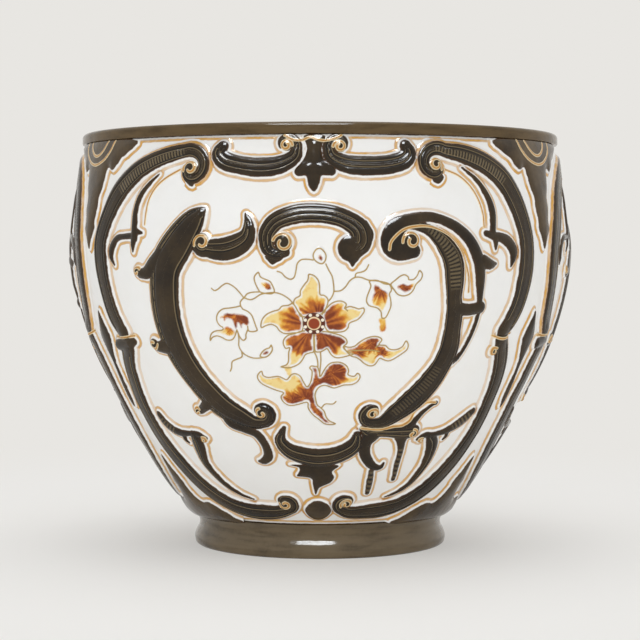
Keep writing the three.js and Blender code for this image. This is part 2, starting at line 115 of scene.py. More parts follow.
# The modelled ornament of one panel. A scroll is a smooth path of (degrees round the pot, height, width),
# and may end in a volute that winds round its eye. A leaf is a closed outline of (degrees, height).
# The grooves are cut across the width, which runs from -1 (left of the way it is drawn) to 1; the ribs lie on
# it only as painted highlight and painted shade.
# An eye is (degrees, height, radius), and perhaps the heading and sweep of the line of slip round it.
# "trails" are further lines of slip, drawn over the forms.
ornament = {
    "frame_upper_left": {
        "scrolls": [{"path": [(-51.8, 160, 12.5), (-54, 171, 15.5), (-55.2, 188, 15.5), (-55.9, 208, 17),
            (-55.6, 222, 16.5), (-53.3, 238, 17), (-50, 254, 17.5), (-45, 267, 15), (-40, 274.5, 12.5),
            (-35, 279, 11), (-30.5, 281.6, 9.5)], "curl": ((-28.8, 269.4), -285, 3.6, 6),
            "grooves": [-0.45, 0.62], "groove": 0.9, "ribs": {"pitch": 2.4, "span": (0.5, 0.79),
            "across": (-0.3, 0.66), "deep": 1}, "channel": (-0.42, 0.58, 0.9), "gild": (0.7, 1),
            "close": (0, 1.3)}],
        "eyes": [(-28.8, 269.4, 4.9, 195, -330)],
        "leaves": [{"outline": [(-30.6, 264.6), (-28.5, 257.6), (-26.6, 264.8), (-28.6, 266)],
            "tall": 1.4}],
    },
    "frame_upper_right": {
        "scrolls": [{"path": [(46.3, 161.5, 12), (48.3, 170, 15), (49.8, 181, 16), (50.6, 197, 17.5),
            (50.7, 210, 17), (50.2, 224, 16.5), (48.7, 239, 17.5), (46.6, 252.5, 18), (43.5, 264.5, 17),
            (38.5, 273.8, 15), (33, 279.2, 13), (28, 281.6, 10)], "curl": ((25.5, 271.6), 285, 3.4, 5.6),
            "grooves": [0.45, -0.62], "groove": 0.9, "ribs": {"pitch": 2.4, "span": (0.54, 0.84),
            "across": (-0.66, 0.3), "deep": 1}, "channel": (-0.58, 0.42, 0.9), "gild": (1, 0.7),
            "close": (1.3, 0)}],
        "eyes": [(25.5, 271.8, 4.4, -40, 420)],
        "leaves": [{"outline": [(27.6, 264.2), (26, 259.5), (24, 264.4), (26, 266)], "tall": 1.4}],
    },
    "frame_lower_left": {
        "scrolls": [
            {"path": [(-51.6, 151, 15), (-53.5, 139, 14), (-54.6, 125, 14.5), (-55.3, 112, 15),
             (-55, 98, 15), (-54, 85, 16), (-51.5, 71, 16.5), (-47.5, 57, 16), (-42.5, 46.8, 15),
             (-36, 39.4, 14), (-29, 35.7, 14), (-22, 34.9, 14), (-16, 35.7, 12), (-11, 38.2, 9)],
             "curl": ((-12.7, 42.3), 250, 2.6, 4), "grooves": [0.52, -0.55], "groove": 0.8,
             "channel": (-0.5, 0.48, 0.6), "gild": (0.9, 0.5)},
            {"path": [(-55.4, 151, 8), (-53, 151.6, 9.4), (-50.4, 152.6, 8.4), (-48.4, 154, 5)],
             "tall": 4.4}],
        "eyes": [(-12.7, 42.3, 3.6, 175, 330)],
        "trails": [[(-56, 156.4), (-53.4, 156.6), (-50.6, 157.2), (-48, 157.6)]],
    },
    "frame_lower_right": {
        "scrolls": [{"path": [(46.4, 156, 12.5), (47.8, 147, 14), (49.1, 137, 14.5), (49.9, 125, 14),
            (50, 112, 13.5), (49.9, 98, 13.5), (49, 85.5, 14), (46.7, 70.5, 15.5), (42.5, 56, 16),
            (37.5, 46.7, 15), (31, 39.8, 14), (24, 36.7, 14.5), (17, 35.7, 13), (11.5, 35.5, 11),
            (8, 37.6, 8.5)], "curl": ((9.5, 42.6), -250, 2.6, 4), "grooves": [-0.52, 0.55], "groove": 0.8,
            "channel": (-0.48, 0.5, 0.6), "gild": (0.5, 0.9)}],
        "eyes": [(9.6, 42.8, 3.8, 215, -420), (44.8, 147.4, 2.8, 60, 330)],
        "trails": [[(43.4, 158.2), (45.4, 157), (47.6, 157.4), (50, 159.2)]],
    },
    "branch_left": {
        "scrolls": [
            {"path": [(-37.6, 266.5, 1), (-40, 260.4, 3), (-42.3, 252, 4.6), (-43.3, 242, 5),
             (-43.3, 232, 5.8), (-43.2, 224.5, 6.8)], "tall": 3},
            {"path": [(-43.4, 232, 4.5), (-42.6, 228.5, 4), (-41.2, 227.4, 2)], "tall": 2.4},
            {"path": [(-43.3, 227, 6), (-43.6, 221, 5), (-43.9, 215, 1.6)], "tall": 2.8},
            {"path": [(-43.6, 225.6, 4), (-46.8, 225, 4), (-49, 224, 4.6), (-50.8, 219, 6),
             (-51.5, 213, 5.5), (-50.8, 206, 1.6)], "tall": 2.8}],
        "trails": [[(-31.8, 269.6), (-35.7, 264), (-38.4, 257.6), (-40, 249.6), (-40.5, 241),
            (-40.6, 233)]],
    },
    "branch_right": {
        "scrolls": [
            {"path": [(32.5, 270.5, 1.4), (36, 262.5, 3.4), (38.5, 252, 5), (39.6, 242, 6),
             (39.4, 229, 5.4)], "tall": 3},
            {"path": [(37.4, 227, 4), (39.6, 225.3, 5.5), (41.6, 224.4, 6.4), (44, 221.5, 8),
             (45.9, 214.5, 8.2), (45.4, 205.5, 2.4)], "tall": 2.8},
            {"path": [(39.4, 229, 5), (40.2, 222, 4.4), (40.4, 216.5, 1.6)], "tall": 2.6}],
        "trails": [[(27.9, 269.4), (31.7, 265), (34.6, 257.6), (36.4, 248.4), (37.2, 239.2),
            (37.2, 231.2)]],
    },
    "lower_leaf_left": {
        "scrolls": [
            {"path": [(-49.6, 102.4, 5.4), (-48.6, 97, 7.2), (-46.2, 92.4, 7.6), (-43.4, 90.2, 6),
             (-40, 90.4, 4.6), (-36.6, 90, 5.2), (-34.4, 87.4, 2.4)], "tall": 2.8, "ribs": {"pitch": 3,
             "span": (0.04, 0.4), "across": (-0.9, 0.9), "deep": 0.7}},
            {"path": [(-42.6, 90, 4), (-43, 86, 3.6), (-42.2, 83, 1.4)], "tall": 2.2},
            {"path": [(-38.6, 90.6, 5), (-38.2, 84, 10), (-38.5, 77, 9), (-38.6, 69, 6.8),
             (-36.4, 60, 5.4), (-33, 52, 4.2), (-29, 46.6, 2.8), (-25, 43.6, 1.2)], "tall": 3,
             "grooves": [0.1], "groove": 0.5}],
        "eyes": [(-35.4, 86.6, 2.2, 90, -330)],
    },
    "lower_leaf_right": {
        "scrolls": [
            {"path": [(45.2, 105.4, 5.6), (43.4, 101, 8), (40.8, 96.4, 7.8), (37.6, 92.6, 5.6),
             (33.8, 90.8, 4.4), (30.4, 90.2, 4.6), (28.8, 87.4, 2.2)], "tall": 2.8, "ribs": {"pitch": 3,
             "span": (0.04, 0.4), "across": (-0.9, 0.9), "deep": 0.7}},
            {"path": [(38.4, 92.6, 3.6), (38.8, 89, 3.2), (38.2, 86, 1.4)], "tall": 2.2},
            {"path": [(32, 90.4, 4.6), (34.2, 85, 9.4), (35, 77.6, 9), (34.8, 69, 7), (32.8, 58.6, 5),
             (30, 51.6, 3.6), (26.6, 47.4, 2.2), (24, 45.4, 1)], "tall": 3, "grooves": [-0.1],
             "groove": 0.5}],
        "eyes": [(30, 87, 2, 90, 330)],
    },
    "cartouche_left": {
        "scrolls": [
            {"path": [(-24.8, 243.2, 1.4), (-26, 239.2, 9.6), (-27.9, 232.4, 18.6), (-31, 219.8, 24),
             (-34.2, 206, 24.4), (-35.3, 190, 24), (-35.6, 170, 23.5), (-34.4, 150, 22),
             (-31.3, 131.5, 20), (-26.2, 113.5, 19.5), (-21, 104.6, 16), (-17.6, 101, 11),
             (-14.6, 101.4, 8.5)], "curl": ((-15.2, 107.8), 235, 3, 4.8), "grooves": [0.62, 0.84, -0.78],
             "groove": 0.9, "tall": 4.4, "gild": (0.9, 0.7)},
            {"path": [(-35.4, 214, 9), (-37.6, 206.4, 11), (-39.6, 201.4, 9), (-41.8, 200.2, 6)],
             "tall": 3.8},
            {"path": [(-35.6, 151, 12), (-38.6, 151.4, 9.5), (-40.6, 151, 6.6)]},
            {"path": [(-28, 116, 10), (-31.2, 110.6, 7), (-32.8, 107.6, 5)]},
            {"path": [(-25.4, 107, 9), (-24.4, 99.6, 7), (-21, 96.2, 6.8), (-17.5, 92.4, 6.4),
             (-15.6, 84, 5.8), (-15.4, 77, 6.4), (-17, 73.4, 5.6), (-18.6, 72.8, 2.6)], "tall": 3.2}],
        "eyes": [(-15.2, 107.8, 3.6, 100, 300), (-42.6, 201.8, 3, 30, 300), (-41.2, 153.4, 3.6, 0, -300),
            (-33.6, 107.6, 2.8, 40, 300)],
    },
    "cartouche_hook": {
        "scrolls": [{"path": [(-15.6, 239.4, 1.4), (-14.9, 234.6, 5.2), (-14.7, 228.8, 8.6),
            (-15.3, 223.4, 12), (-17.2, 219.2, 14.4), (-19.7, 216.8, 15), (-22, 216.6, 13.6),
            (-24, 217.2, 11)], "curl": ((-24.9, 220.8), -230, 3.4, 5), "grooves": [0.4, -0.2],
            "groove": 0.6}],
        "eyes": [(-24.9, 221, 5, 200, -330)],
    },
    "cartouche_crest": {
        "scrolls": [
            {"path": [(-7, 214.6, 5.4), (-8.7, 213.6, 6.8), (-10.4, 216, 8.4), (-11, 221, 9.4),
             (-10.8, 227.4, 10.6), (-8.8, 234.8, 11.6), (-4.4, 239.2, 12.5), (0.5, 239.4, 12.5),
             (4.5, 236.6, 12.2), (7.8, 230, 13.5), (8.4, 221.5, 14), (7, 217, 13.5)], "grooves": [-0.5,
             0.1, 0.62], "groove": 0.7, "tall": 4.4},
            {"path": [(9.4, 234, 2), (10.3, 226, 4.6), (9.8, 219, 2)], "tall": 3}],
        "eyes": [(-7.5, 220.6, 5.8, 165, -380), (6.3, 217.2, 8.5)],
        "leaves": [
            {"outline": [(-11.4, 212), (-10.6, 208.6), (-9.8, 206.6), (-8.9, 208), (-7.8, 210),
             (-9, 213)], "tall": 2.2},
            {"outline": [(5.4, 210.6), (6.1, 207.6), (6.7, 205), (7.3, 207.6), (8.1, 210.6), (6.7, 212)],
             "tall": 2.2}],
    },
    "cartouche_right": {
        "scrolls": [
            {"path": [(19.6, 215.4, 9), (16.4, 215.6, 13), (14.9, 221, 15.6), (15.8, 230.2, 12.6),
             (19.4, 236, 8), (24, 237.2, 6.4), (29, 231.8, 7), (32.8, 222.5, 8.2), (35.3, 210, 9),
             (36.1, 199.5, 8.6), (36.6, 188, 6), (37.2, 178, 3.6), (37, 168, 3.2), (36, 157, 3.4),
             (34.4, 146, 3), (33, 140, 1.5)], "gild": (1, 0.5), "tall": 3.8},
            {"path": [(18.6, 231.6, 4), (20.8, 231.2, 6), (23.5, 228, 8), (26.5, 220, 12),
             (28.8, 209, 15.2), (29.5, 196, 14.5), (29.8, 185, 12), (30.4, 175, 13), (30.6, 163, 13.5),
             (30.6, 150, 15.6), (29.3, 138.4, 15.8), (27, 127, 17.8), (23.6, 116.2, 18),
             (19.4, 106.6, 14), (16.4, 101, 9.6), (13.4, 100.6, 7.6)],
             "curl": ((13.5, 107.4), -235, 3, 4.2), "grooves": [0.78, -0.8], "groove": 0.8,
             "ribs": {"pitch": 2.6, "span": (0.07, 0.3), "across": (-0.62, 0.62), "deep": 0.8},
             "fine": {"pitch": 2.2, "span": (0.58, 0.8), "across": (-0.2, 0.7), "deep": 0.4},
             "channel": (-0.7, 0.7, 0.7), "gild": (0.8, 1), "tall": 4.2},
            {"path": [(30.4, 178, 9), (34, 176.6, 8), (37.4, 178, 8)], "tall": 3.7},
            {"path": [(36.6, 209, 8), (38.6, 206.6, 7), (40.6, 206.8, 2)]},
            {"path": [(30.5, 146, 8), (33.2, 143.4, 5), (34.2, 146.6, 3)], "tall": 3},
            {"path": [(11.4, 97, 4), (13.4, 94.4, 9), (16.9, 94.4, 8.6), (20.4, 94, 9.4),
             (23.8, 93.6, 12), (26.2, 94, 10.6)], "tall": 3.2, "grooves": [-0.35, 0.3], "groove": 0.5},
            {"path": [(24.8, 97.4, 8), (25.9, 101, 5.6), (27.2, 105.4, 4), (29, 109.6, 3),
             (30.8, 112.8, 2.4)], "tall": 2.8},
            {"path": [(14.4, 92.6, 12), (12.9, 86.6, 9), (13.2, 79, 7.6), (15, 72.2, 6.6),
             (17.4, 68.6, 5.4), (19.2, 68.6, 3.6), (19.9, 71.2, 1.6)], "tall": 3},
            {"path": [(16.3, 66, 3.6), (16.6, 57.2, 4.4), (16.7, 49.2, 3)], "tall": 2.6,
             "ribs": {"pitch": 4, "span": (0, 1), "across": (-1, 1), "deep": 0.7}},
            {"path": [(23.2, 92, 12), (23.8, 86, 6.4), (24.4, 79, 4.2), (24.4, 70.4, 4.2),
             (24.9, 58.8, 3)], "tall": 2.4, "ribs": {"pitch": 4, "span": (0.3, 1), "across": (-1, 1),
             "deep": 0.6}}],
        "eyes": [(19, 222, 5.4, 190, -400), (13.5, 107.6, 3.8, -20, 420), (26.4, 92.6, 3.2, 90, -330),
            (31, 113.2, 1.8)],
        "trails": [[(11.1, 97.6), (15.9, 96.4), (19.6, 98), (22.8, 98.8), (24.7, 102.4), (25.8, 108.4),
            (28, 112.6), (30.6, 114)], [(14.2, 216.4), (14.6, 222), (17.2, 229), (20.6, 231.4),
            (24, 230.6), (27.6, 226), (30.2, 218.6), (32.2, 208), (33.4, 198), (33.8, 188)]],
    },
    "cartouche_basin": {
        "scrolls": [{"path": [(-9.7, 97.4, 2.4), (-11, 89, 7.8), (-8.6, 81.4, 12), (-4, 77.6, 14.5),
            (0, 76.6, 15), (5, 78.6, 14), (9.3, 84.6, 11.8), (10.2, 93, 5)], "grooves": [-0.45, 0.4],
            "groove": 0.6}],
        "leaves": [{"outline": [(-8.8, 71), (-6.4, 69), (-6.5, 65.8), (-7.4, 62.6), (-4.6, 62),
            (-2.6, 60.4), (-2.2, 55), (-1.5, 48.8), (-0.5, 53.6), (1.2, 55.6), (3.4, 58), (4.5, 62),
            (3.7, 66), (5.2, 71)], "tall": 3}],
    },
    "base_bead": {
        "leaves": [{"outline": mirrored(-0.7, [(-0.7, 44.4), (1.2, 43.6), (3.2, 41), (4.2, 37.3),
            (3.2, 33.4), (1.2, 30.8), (-0.7, 30)]), "tall": 4}],
    },
    "rim_garland": {
        "scrolls": [
            {"path": [(-21.4, 283.4, 8), (-22.1, 279, 11), (-20.8, 274.4, 12.4), (-17.6, 271.4, 12),
             (-13, 269.6, 12.8), (-8.7, 271, 12), (-5.6, 276, 9.6), (-4.9, 282.4, 7)],
             "curl": ((-7.4, 284), 200, 2.6, 3.6), "grooves": [0.3, -0.35], "groove": 0.9,
             "gild": (0.8, 1)},
            {"path": [(18.7, 284, 8), (19.3, 279, 10.5), (18, 274.4, 12.4), (14.8, 271.5, 12.6),
             (10, 270.5, 12.8), (5.6, 271.6, 12), (2.5, 276, 9.4), (1.7, 282.4, 7)],
             "curl": ((4.3, 283.4), -200, 2.6, 3.6), "grooves": [-0.3, 0.35], "groove": 0.9,
             "gild": (1, 0.8)},
            {"path": [(-1.2, 284, 7), (-1.2, 276, 9), (-1.2, 268, 10), (-1.2, 260, 7)], "tall": 4.8},
            {"path": [(-4.4, 266.6, 6), (-2.8, 268.6, 9), (-1.2, 270, 9.6), (0.6, 268.6, 9),
             (2.4, 266.8, 6)], "tall": 4.9}],
        "eyes": [(-7.2, 283.8, 3.5, 0, 420), (4.2, 283, 3.7, 180, -420)],
        "trails": [[(-7.6, 290.6), (-5.6, 287.4), (-3.6, 287.6), (-2, 289.4), (-0.6, 287.6), (1.2, 287),
            (3.4, 288.6), (4.6, 290.6)]],
        "leaves": [{"outline": [(-3.4, 290.4), (-2.8, 284), (-2.9, 279), (-3.6, 274), (-5.2, 268.2),
            (-4.6, 265.8), (-2.9, 263.8), (-2.4, 258), (-1.3, 253.4), (-0.3, 257.6), (0.1, 263.4),
            (1.8, 265.6), (3.3, 269.2), (1.2, 273), (0.3, 279), (0.4, 284), (1, 290.4)], "tall": 3.6}],
    },
    "rim_leaf": {
        "leaves": [{"outline": mirrored(58.3, [(72.9, 291), (71.4, 282), (69.2, 278.8), (67.8, 274),
            (65.9, 270.6), (63.9, 272.4), (62.7, 260), (61.5, 252), (61.4, 244), (60.7, 236),
            (60.9, 230.6), (59.6, 224), (58.3, 216.6)]), "tall": 3.6}],
        "trails": [[(53.6, 290.6), (54.8, 285.6), (57, 281.4), (59.4, 281.2), (61.6, 284.8), (63, 290.6)],
            mirrored(58.3, [(50.4, 290.6), (51.6, 283.6), (54.6, 277.2), (58.3, 274.6)])],
    },
    "spear_drop": {
        "leaves": [{"outline": mirrored(58.3, [(58.3, 174.5), (59.5, 167.5), (61, 157), (60.4, 149),
            (59.5, 141), (59.1, 134), (59.5, 122), (59.4, 112), (58.3, 106)]), "tall": 3.6}],
    },
    "foot_leaf": {
        "leaves": [{"outline": mirrored(58.3, [(58.3, 71.5), (60.3, 61), (62.2, 53), (62.3, 48),
            (64.3, 41), (67.3, 37.6), (71.3, 38.4), (74.3, 36.4), (77.3, 33.4), (81.6, 29), (83, 24.4)]),
            "tall": 3.6}],
    },
}
oliveOnes = ("rim_leaf", "foot_leaf", "base_bead")

# How the ornament is modelled, in mm: its height and sides, the net it is made on, and its finer work. Pairs
# are where a thing begins and is complete; "channelRun" and "grooveRun" are shares of a scroll's length.
relief = {
    "tall": 4.2, "narrowTall": 1, "tallPerWidth": 0.42, "edge": 0.55, "crown": 0.8, "leafRound": 3.2,
    "eyeTall": 4.5, "skirt": 3.4, "hollow": 1.7, "reach": 4.8, "sunk": 0.5, "shell": 0.9, "far": 9,
    "cell": 0.8, "netAngles": (-64, 88), "netHeights": (24.2, 292), "netMiddle": pot["bellyHeight"],
    "netEdge": 0.3, "trailOwn": 2.2,
    "sample": 2.2, "thinnest": 0.8, "curlStep": 12, "spiral": (1.15, 0.4), "spiralPoints": 28,
    "channelSoft": 0.18, "channelRun": (0, 0.05, 0.86, 0.94), "groove": 0.7, "grooveWidth": 0.75,
    "grooveRun": (0, 0.04), "grooveFrom": (2.5, 6), "ribSoft": 0.12, "ribEnd": 0.01,
    "trail": 1.5, "trailTall": 0.45, "trailRadius": 0.9375, "trailSeat": 0.15, "trailBed": (1.2, 2.6),
    "cleft": (1.8, 3),
}


def smoothPath(points, step, closed=False):
    # Catmull-Rom through the points (any number of columns), at about step mm apart
    degree = 3  # mm of wall to a degree, about
    points = np.array(points, float)
    if closed:
        line = np.vstack([points[-1:], points, points[:2]])
    else:
        line = np.vstack([2 * points[0] - points[1], points, 2 * points[-1] - points[-2]])
    result = []
    for p0, p1, p2, p3 in zip(line, line[1:], line[2:], line[3:]):
        size = math.hypot((p2[0] - p1[0]) * degree, p2[1] - p1[1])
        pieces = max(1, math.ceil(size / step))
        for t in np.arange(pieces) / pieces:
            result.append(0.5 * (2 * p1 + (p2 - p0) * t + (2 * p0 - 5 * p1 + 4 * p2 - p3) * t * t
                                 + (3 * p1 - p0 - 3 * p2 + p3) * t ** 3))
    return np.array(result if closed else result + [points[-1]])


def scrollPoints(scroll):
    line = smoothPath(laid(scroll["path"]), relief["sample"])
    line[:, 2] = np.maximum(line[:, 2], relief["thinnest"])
    if "curl" in scroll:
        eye, turn, radius, width = scroll["curl"]
        eye = np.array(laid([eye])[0])
        unit = degreeAt(eye[1])
        start = (line[-1, :2] - eye) * [unit, 1]
        reach = np.hypot(*start)
        steps = int(abs(turn) / relief["curlStep"])
        share = np.arange(1, steps + 1) / steps
        size = reach + (radius - reach) * share
        angle = math.atan2(start[1], start[0]) + math.radians(turn) * share
        curl = [eye[0] + size * np.cos(angle) / unit, eye[1] + size * np.sin(angle),
                line[-1, 2] + (width - line[-1, 2]) * share]
        line = np.vstack([line, np.stack(curl, axis=1)])
    steps = np.hypot(np.diff(line[:, 0]) * degreeAt(line[1:, 1]), np.diff(line[:, 1]))
    return {"kind": "scroll", "line": line, "along": np.concatenate([[0], np.cumsum(steps)]), "style": scroll}


def eyePoints(angle, arc, radius):
    length = 0.01
    line = np.array([[angle, arc, 2 * radius], [angle, arc + length, 2 * radius]])
    return {"kind": "eye", "line": line, "along": np.array([0, length]), "style": {"tall": relief["eyeTall"]}}


def spiralPoints(angle, arc, radius, heading, sweep):
    share = np.linspace(0, 1, relief["spiralPoints"])
    turn = np.radians(heading + sweep * share)
    first, last = relief["spiral"]
    reach = radius * (first + (last - first) * share)
    return np.stack([angle + reach * np.cos(turn) / degreeAt(arc), arc + reach * np.sin(turn)], axis=1)


def linePoints(kind, line, width):
    return {"kind": kind, "line": np.column_stack([line, np.full(len(line), width)]),
            "along": np.zeros(len(line)), "style": {}}


def boxOf(line, room):
    wide = room / degreeAt(line[:, 1].min())
    return line[:, 0].min() - wide, line[:, 0].max() + wide, line[:, 1].min() - room, line[:, 1].max() + room


def reached(angle, arc, forms):
    # Each form that reaches any of the points, with the numbers and places of those points.
    for form in forms:
        low, high, bottom, top = form["box"]
        index = np.nonzero((angle > low) & (angle < high) & (arc > bottom) & (arc < top))[0]
        if len(index):
            yield form, index, angle[index], arc[index]


def put(target, index, chosen, value):
    target[index] = np.where(chosen, value, target[index])


def makeForms(turn):
    # Every scroll, eye, line of slip and leaf of the panel that lies turn degrees round the pot.
    forms = []
    for name, drawing in ornament.items():
        made = [scrollPoints(scroll) for scroll in drawing.get("scrolls", [])]
        trails = [smoothPath(laid(points), relief["sample"]) for points in drawing.get("trails", [])]
        for angle, arc, radius, *spiral in laid(drawing.get("eyes", [])):
            made.append(eyePoints(angle, arc, radius))
            if spiral:
                trails.append(spiralPoints(angle, arc, radius, *spiral))
        made += [linePoints("trail", line, relief["trail"]) for line in trails]
        for leaf in drawing.get("leaves", []):
            line = smoothPath(laid(leaf["outline"]), relief["sample"], True)
            made.append({"kind": "leaf", "line": line, "style": leaf})
        for form in made:
            line = form["line"]
            line[:, 0] += turn
            room = (line[:, 2].max() / 2 if form["kind"] != "leaf" else 0) + relief["reach"] + 1
            form.update(name=name, own=turn == 0, tall=form["style"].get("tall", relief["tall"]),
                        box=boxOf(line, room))
        forms += made
    return forms


def toSpan(angle, arc, start, end, unit):
    # From each point to the nearest place on a span: the way there, the span, its squared length, the share.
    ax = (start[0] - angle) * unit
    ay = start[1] - arc
    dx = (end[0] - start[0]) * unit
    dy = end[1] - start[1]
    size = dx * dx + dy * dy + 1e-12
    share = np.clip(-(ax * dx + ay * dy) / size, 0, 1)
    return ax + dx * share, ay + dy * share, dx, dy, size, share


def toScroll(angle, arc, form):
    # Distance outside the scroll's edge, place across it (-1 to 1) and length along it.
    unit = degreeAt(arc)
    line = form["line"]
    best = np.full(len(angle), 1e9)
    across, along = np.zeros((2, len(angle)))
    for i in range(len(line) - 1):
        px, py, dx, dy, size, share = toSpan(angle, arc, line[i], line[i + 1], unit)
        half = (line[i, 2] + (line[i + 1, 2] - line[i, 2]) * share) / 2
        away = np.hypot(px, py)
        near = away - half < best
        best = np.where(near, away - half, best)
        side = np.where(dx * py - dy * px > 0, 1.0, -1.0)
        across = np.where(near, side * away / half, across)
        along = np.where(near, form["along"][i] + share * np.sqrt(size), along)
    return best, across, along


def toLeaf(angle, arc, form):
    # Distance outside the leaf's outline, negative inside it.
    unit = degreeAt(arc)
    best = np.full(len(angle), 1e9)
    inside = np.zeros(len(angle), bool)
    for a, b in zip(form["line"], np.roll(form["line"], -1, axis=0)):
        px, py, *rest = toSpan(angle, arc, a, b, unit)
        best = np.minimum(best, np.hypot(px, py))
        rise = b[1] - a[1] if b[1] != a[1] else 1e-9
        crosses = (a[1] > arc) != (b[1] > arc)
        inside ^= crosses & (angle < a[0] + (arc - a[1]) / rise * (b[0] - a[0]))
    return np.where(inside, -best, best)


def smoothStep(low, high, value):
    share = np.clip((value - low) / (high - low), 0, 1)
    return share * share * (3 - 2 * share)


def within(value, low, full, last, high):
    # rises from low to full, falls from last to high
    return smoothStep(low, full, value) * (1 - smoothStep(last, high, value))


def ball(away, radius):
    return np.sqrt(np.clip(1 - (away / radius) ** 2, 0, 1))


def domed(tall, share):
    return tall * (relief["edge"] + (1 - relief["edge"]) * share)


def scrollHeight(across, along, form):
    # Height over the wall, and by name: distance to the nearest groove, turn and strength of the ribs.
    style = form["style"]
    widths = np.interp(along, form["along"], form["line"][:, 2])
    t = np.clip(across, -1, 1)
    tall = np.minimum(form["tall"], relief["narrowTall"] + widths * relief["tallPerWidth"])
    height = domed(tall, (1 - t * t) ** relief["crown"])
    share = along / form["along"][-1]
    slot = np.full(len(t), float(relief["far"]))
    phase, ribbed = np.zeros((2, len(t)))
    if "channel" in style:
        low, high, deep = style["channel"]
        soft = relief["channelSoft"]
        into = within(t, low, low + soft, high - soft, high) * within(share, *relief["channelRun"])
        height = height - deep * into
    for place in style.get("grooves", []):
        shown = smoothStep(*relief["grooveRun"], share) * smoothStep(*relief["grooveFrom"], widths)
        away = (t - place) * widths / 2
        cut = style.get("groove", relief["groove"]) * np.exp(-(away / relief["grooveWidth"]) ** 2)
        height = height - cut * shown
        away = away + np.sign(away) * relief["far"] * (1 - shown)
        slot = np.where(np.abs(away) < np.abs(slot), away, slot)
    for ribs in (style[kind] for kind in ("ribs", "fine") if kind in style):
        start, end = ribs["span"]
        left, right = ribs["across"]
        soft, tip = relief["ribSoft"], relief["ribEnd"]
        fade = within(t, left, left + soft, right - soft, right)
        fade = fade * within(share, start - tip, start + tip, end - tip, end + tip)
        phase = np.where(fade > 0, 2 * math.pi * along / ribs["pitch"], phase)
        ribbed = np.maximum(ribbed, fade * ribs["deep"])
    return height, {"slot": slot, "phase": phase, "ribbed": ribbed}


def field(angle, arc, forms):
    # Height over the wall at each point, and what steers its glaze: distances in mm from the nearest dark
    # edge, groove and line of slip, the turn and strength of ribs, gilding, how close the gilded line comes,
    # and the cleft between two forms.
    count = len(angle)
    height = np.full(count, -relief["sunk"])
    plain = {"slot": relief["far"], "trail": relief["far"], "phase": 0, "ribbed": 0, "gild": 1, "close": 0}
    masks = {label: np.full(count, float(value)) for label, value in plain.items()}
    masks["edge"] = whiteFrom(arc)
    nearest, second = np.full((2, count), 50.0)
    owner = np.full(count, -1)
    names = list(ornament)
    for form, index, a, s in reached(angle, arc, forms):
        if form["kind"] == "trail":
            away = toScroll(a, s, form)[0] + relief["trail"] / 2
            put(masks["trail"], index, away < masks["trail"][index], away)
            continue
        if form["kind"] == "leaf":
            outside = toLeaf(a, s, form)
            rise = domed(form["tall"], 1 - np.exp(np.minimum(outside, 0) / relief["leafRound"]))
            onTop = {label: plain[label] for label in ("slot", "phase", "ribbed")}
            beside = {label: plain[label] for label in ("gild", "close")}
        else:
            outside, across, along = toScroll(a, s, form)
            rise, onTop = scrollHeight(across, along, form)
            beside = {}
            for label, usual in (("gild", (0.9, 0.9)), ("close", (0, 0))):
                beside[label] = np.where(across > 0, *form["style"].get(label, usual))
        rise = rise * (1 - np.clip(outside / relief["skirt"], 0, 1)) ** relief["hollow"]
        sink = -relief["sunk"] * smoothStep(relief["skirt"], relief["reach"], outside)
        rise = np.where(outside > relief["skirt"], sink, rise)
        higher = rise > height[index]
        closer = outside < nearest[index]
        for chosen, values in ((higher, onTop), (closer, beside)):
            for label, value in values.items():
                put(masks[label], index, chosen, value)
        put(height, index, higher, rise)
        put(masks["edge"], index, outside < masks["edge"][index], outside)
        number = names.index(form["name"])
        runnerUp = np.where(closer, nearest[index], np.minimum(second[index], outside))
        put(second, index, owner[index] != number, runnerUp)
        put(owner, index, closer, number)
        put(nearest, index, closer, outside)
    bed = 1 - smoothStep(*relief["trailBed"], masks["trail"])
    height = height + bed * np.maximum(relief["trailSeat"] - height, 0)
    height = height + relief["trailTall"] * ball(masks["trail"], relief["trailRadius"])
    masks["cleft"] = 1 - smoothStep(*relief["cleft"], second)
    return height, masks


def layNet(part):
    # A fine net over the panel: its lines, and the middles of its cells as two flat lists and their shape.
    cell = part["cell"] * 1
    stepAngle = cell / degreeAt(arcAt(part["netMiddle"]))
    angles = np.arange(*part["netAngles"], stepAngle)
    arcs = np.arange(*arcAt(np.array(part["netHeights"])), cell)
    middleA, middleS = np.meshgrid(angles[:-1] + stepAngle / 2, arcs[:-1] + cell / 2)
    return angles, arcs, middleA.ravel(), middleS.ravel(), middleA.shape


def shareOut(forms):
    # Gives each cell of the net to the piece that lies nearest to it: its number, or below 0 for none.
    angles, arcs, flatA, flatS, shape = layNet(relief)
    best = np.full(len(flatA), relief["reach"] - relief["netEdge"])
    owner = np.full(len(flatA), -1)
    names = list(ornament)
    for form, index, a, s in reached(flatA, flatS, forms):
        outside = toLeaf(a, s, form) if form["kind"] == "leaf" else toScroll(a, s, form)[0]
        if form["kind"] == "trail":
            outside = outside + relief["reach"] - relief["trailOwn"]
        near = outside < best[index]
        put(best, index, near, outside)
        put(owner, index, near, names.index(form["name"]) if form["own"] else -2)
    return angles, arcs, owner.reshape(shape)


def netMesh(angles, arcs, cells):
    # Corners and faces of the chosen cells, as flat (degrees, arc) points.
    rows, columns = np.nonzero(cells)
    width = len(angles)
    first = rows * width + columns
    corners = np.stack([first, first + 1, first + width + 1, first + width], axis=1)
    used, faces = np.unique(corners, return_inverse=True)
    return angles[used % width], arcs[used // width], faces.reshape(corners.shape)


def deselect():
    if bpy.context.mode != "OBJECT":
        bpy.ops.object.mode_set(mode="OBJECT")
    bpy.ops.object.select_all(action="DESELECT")


def activate(piece):
    deselect()
    piece.select_set(True)
    bpy.context.view_layer.objects.active = piece


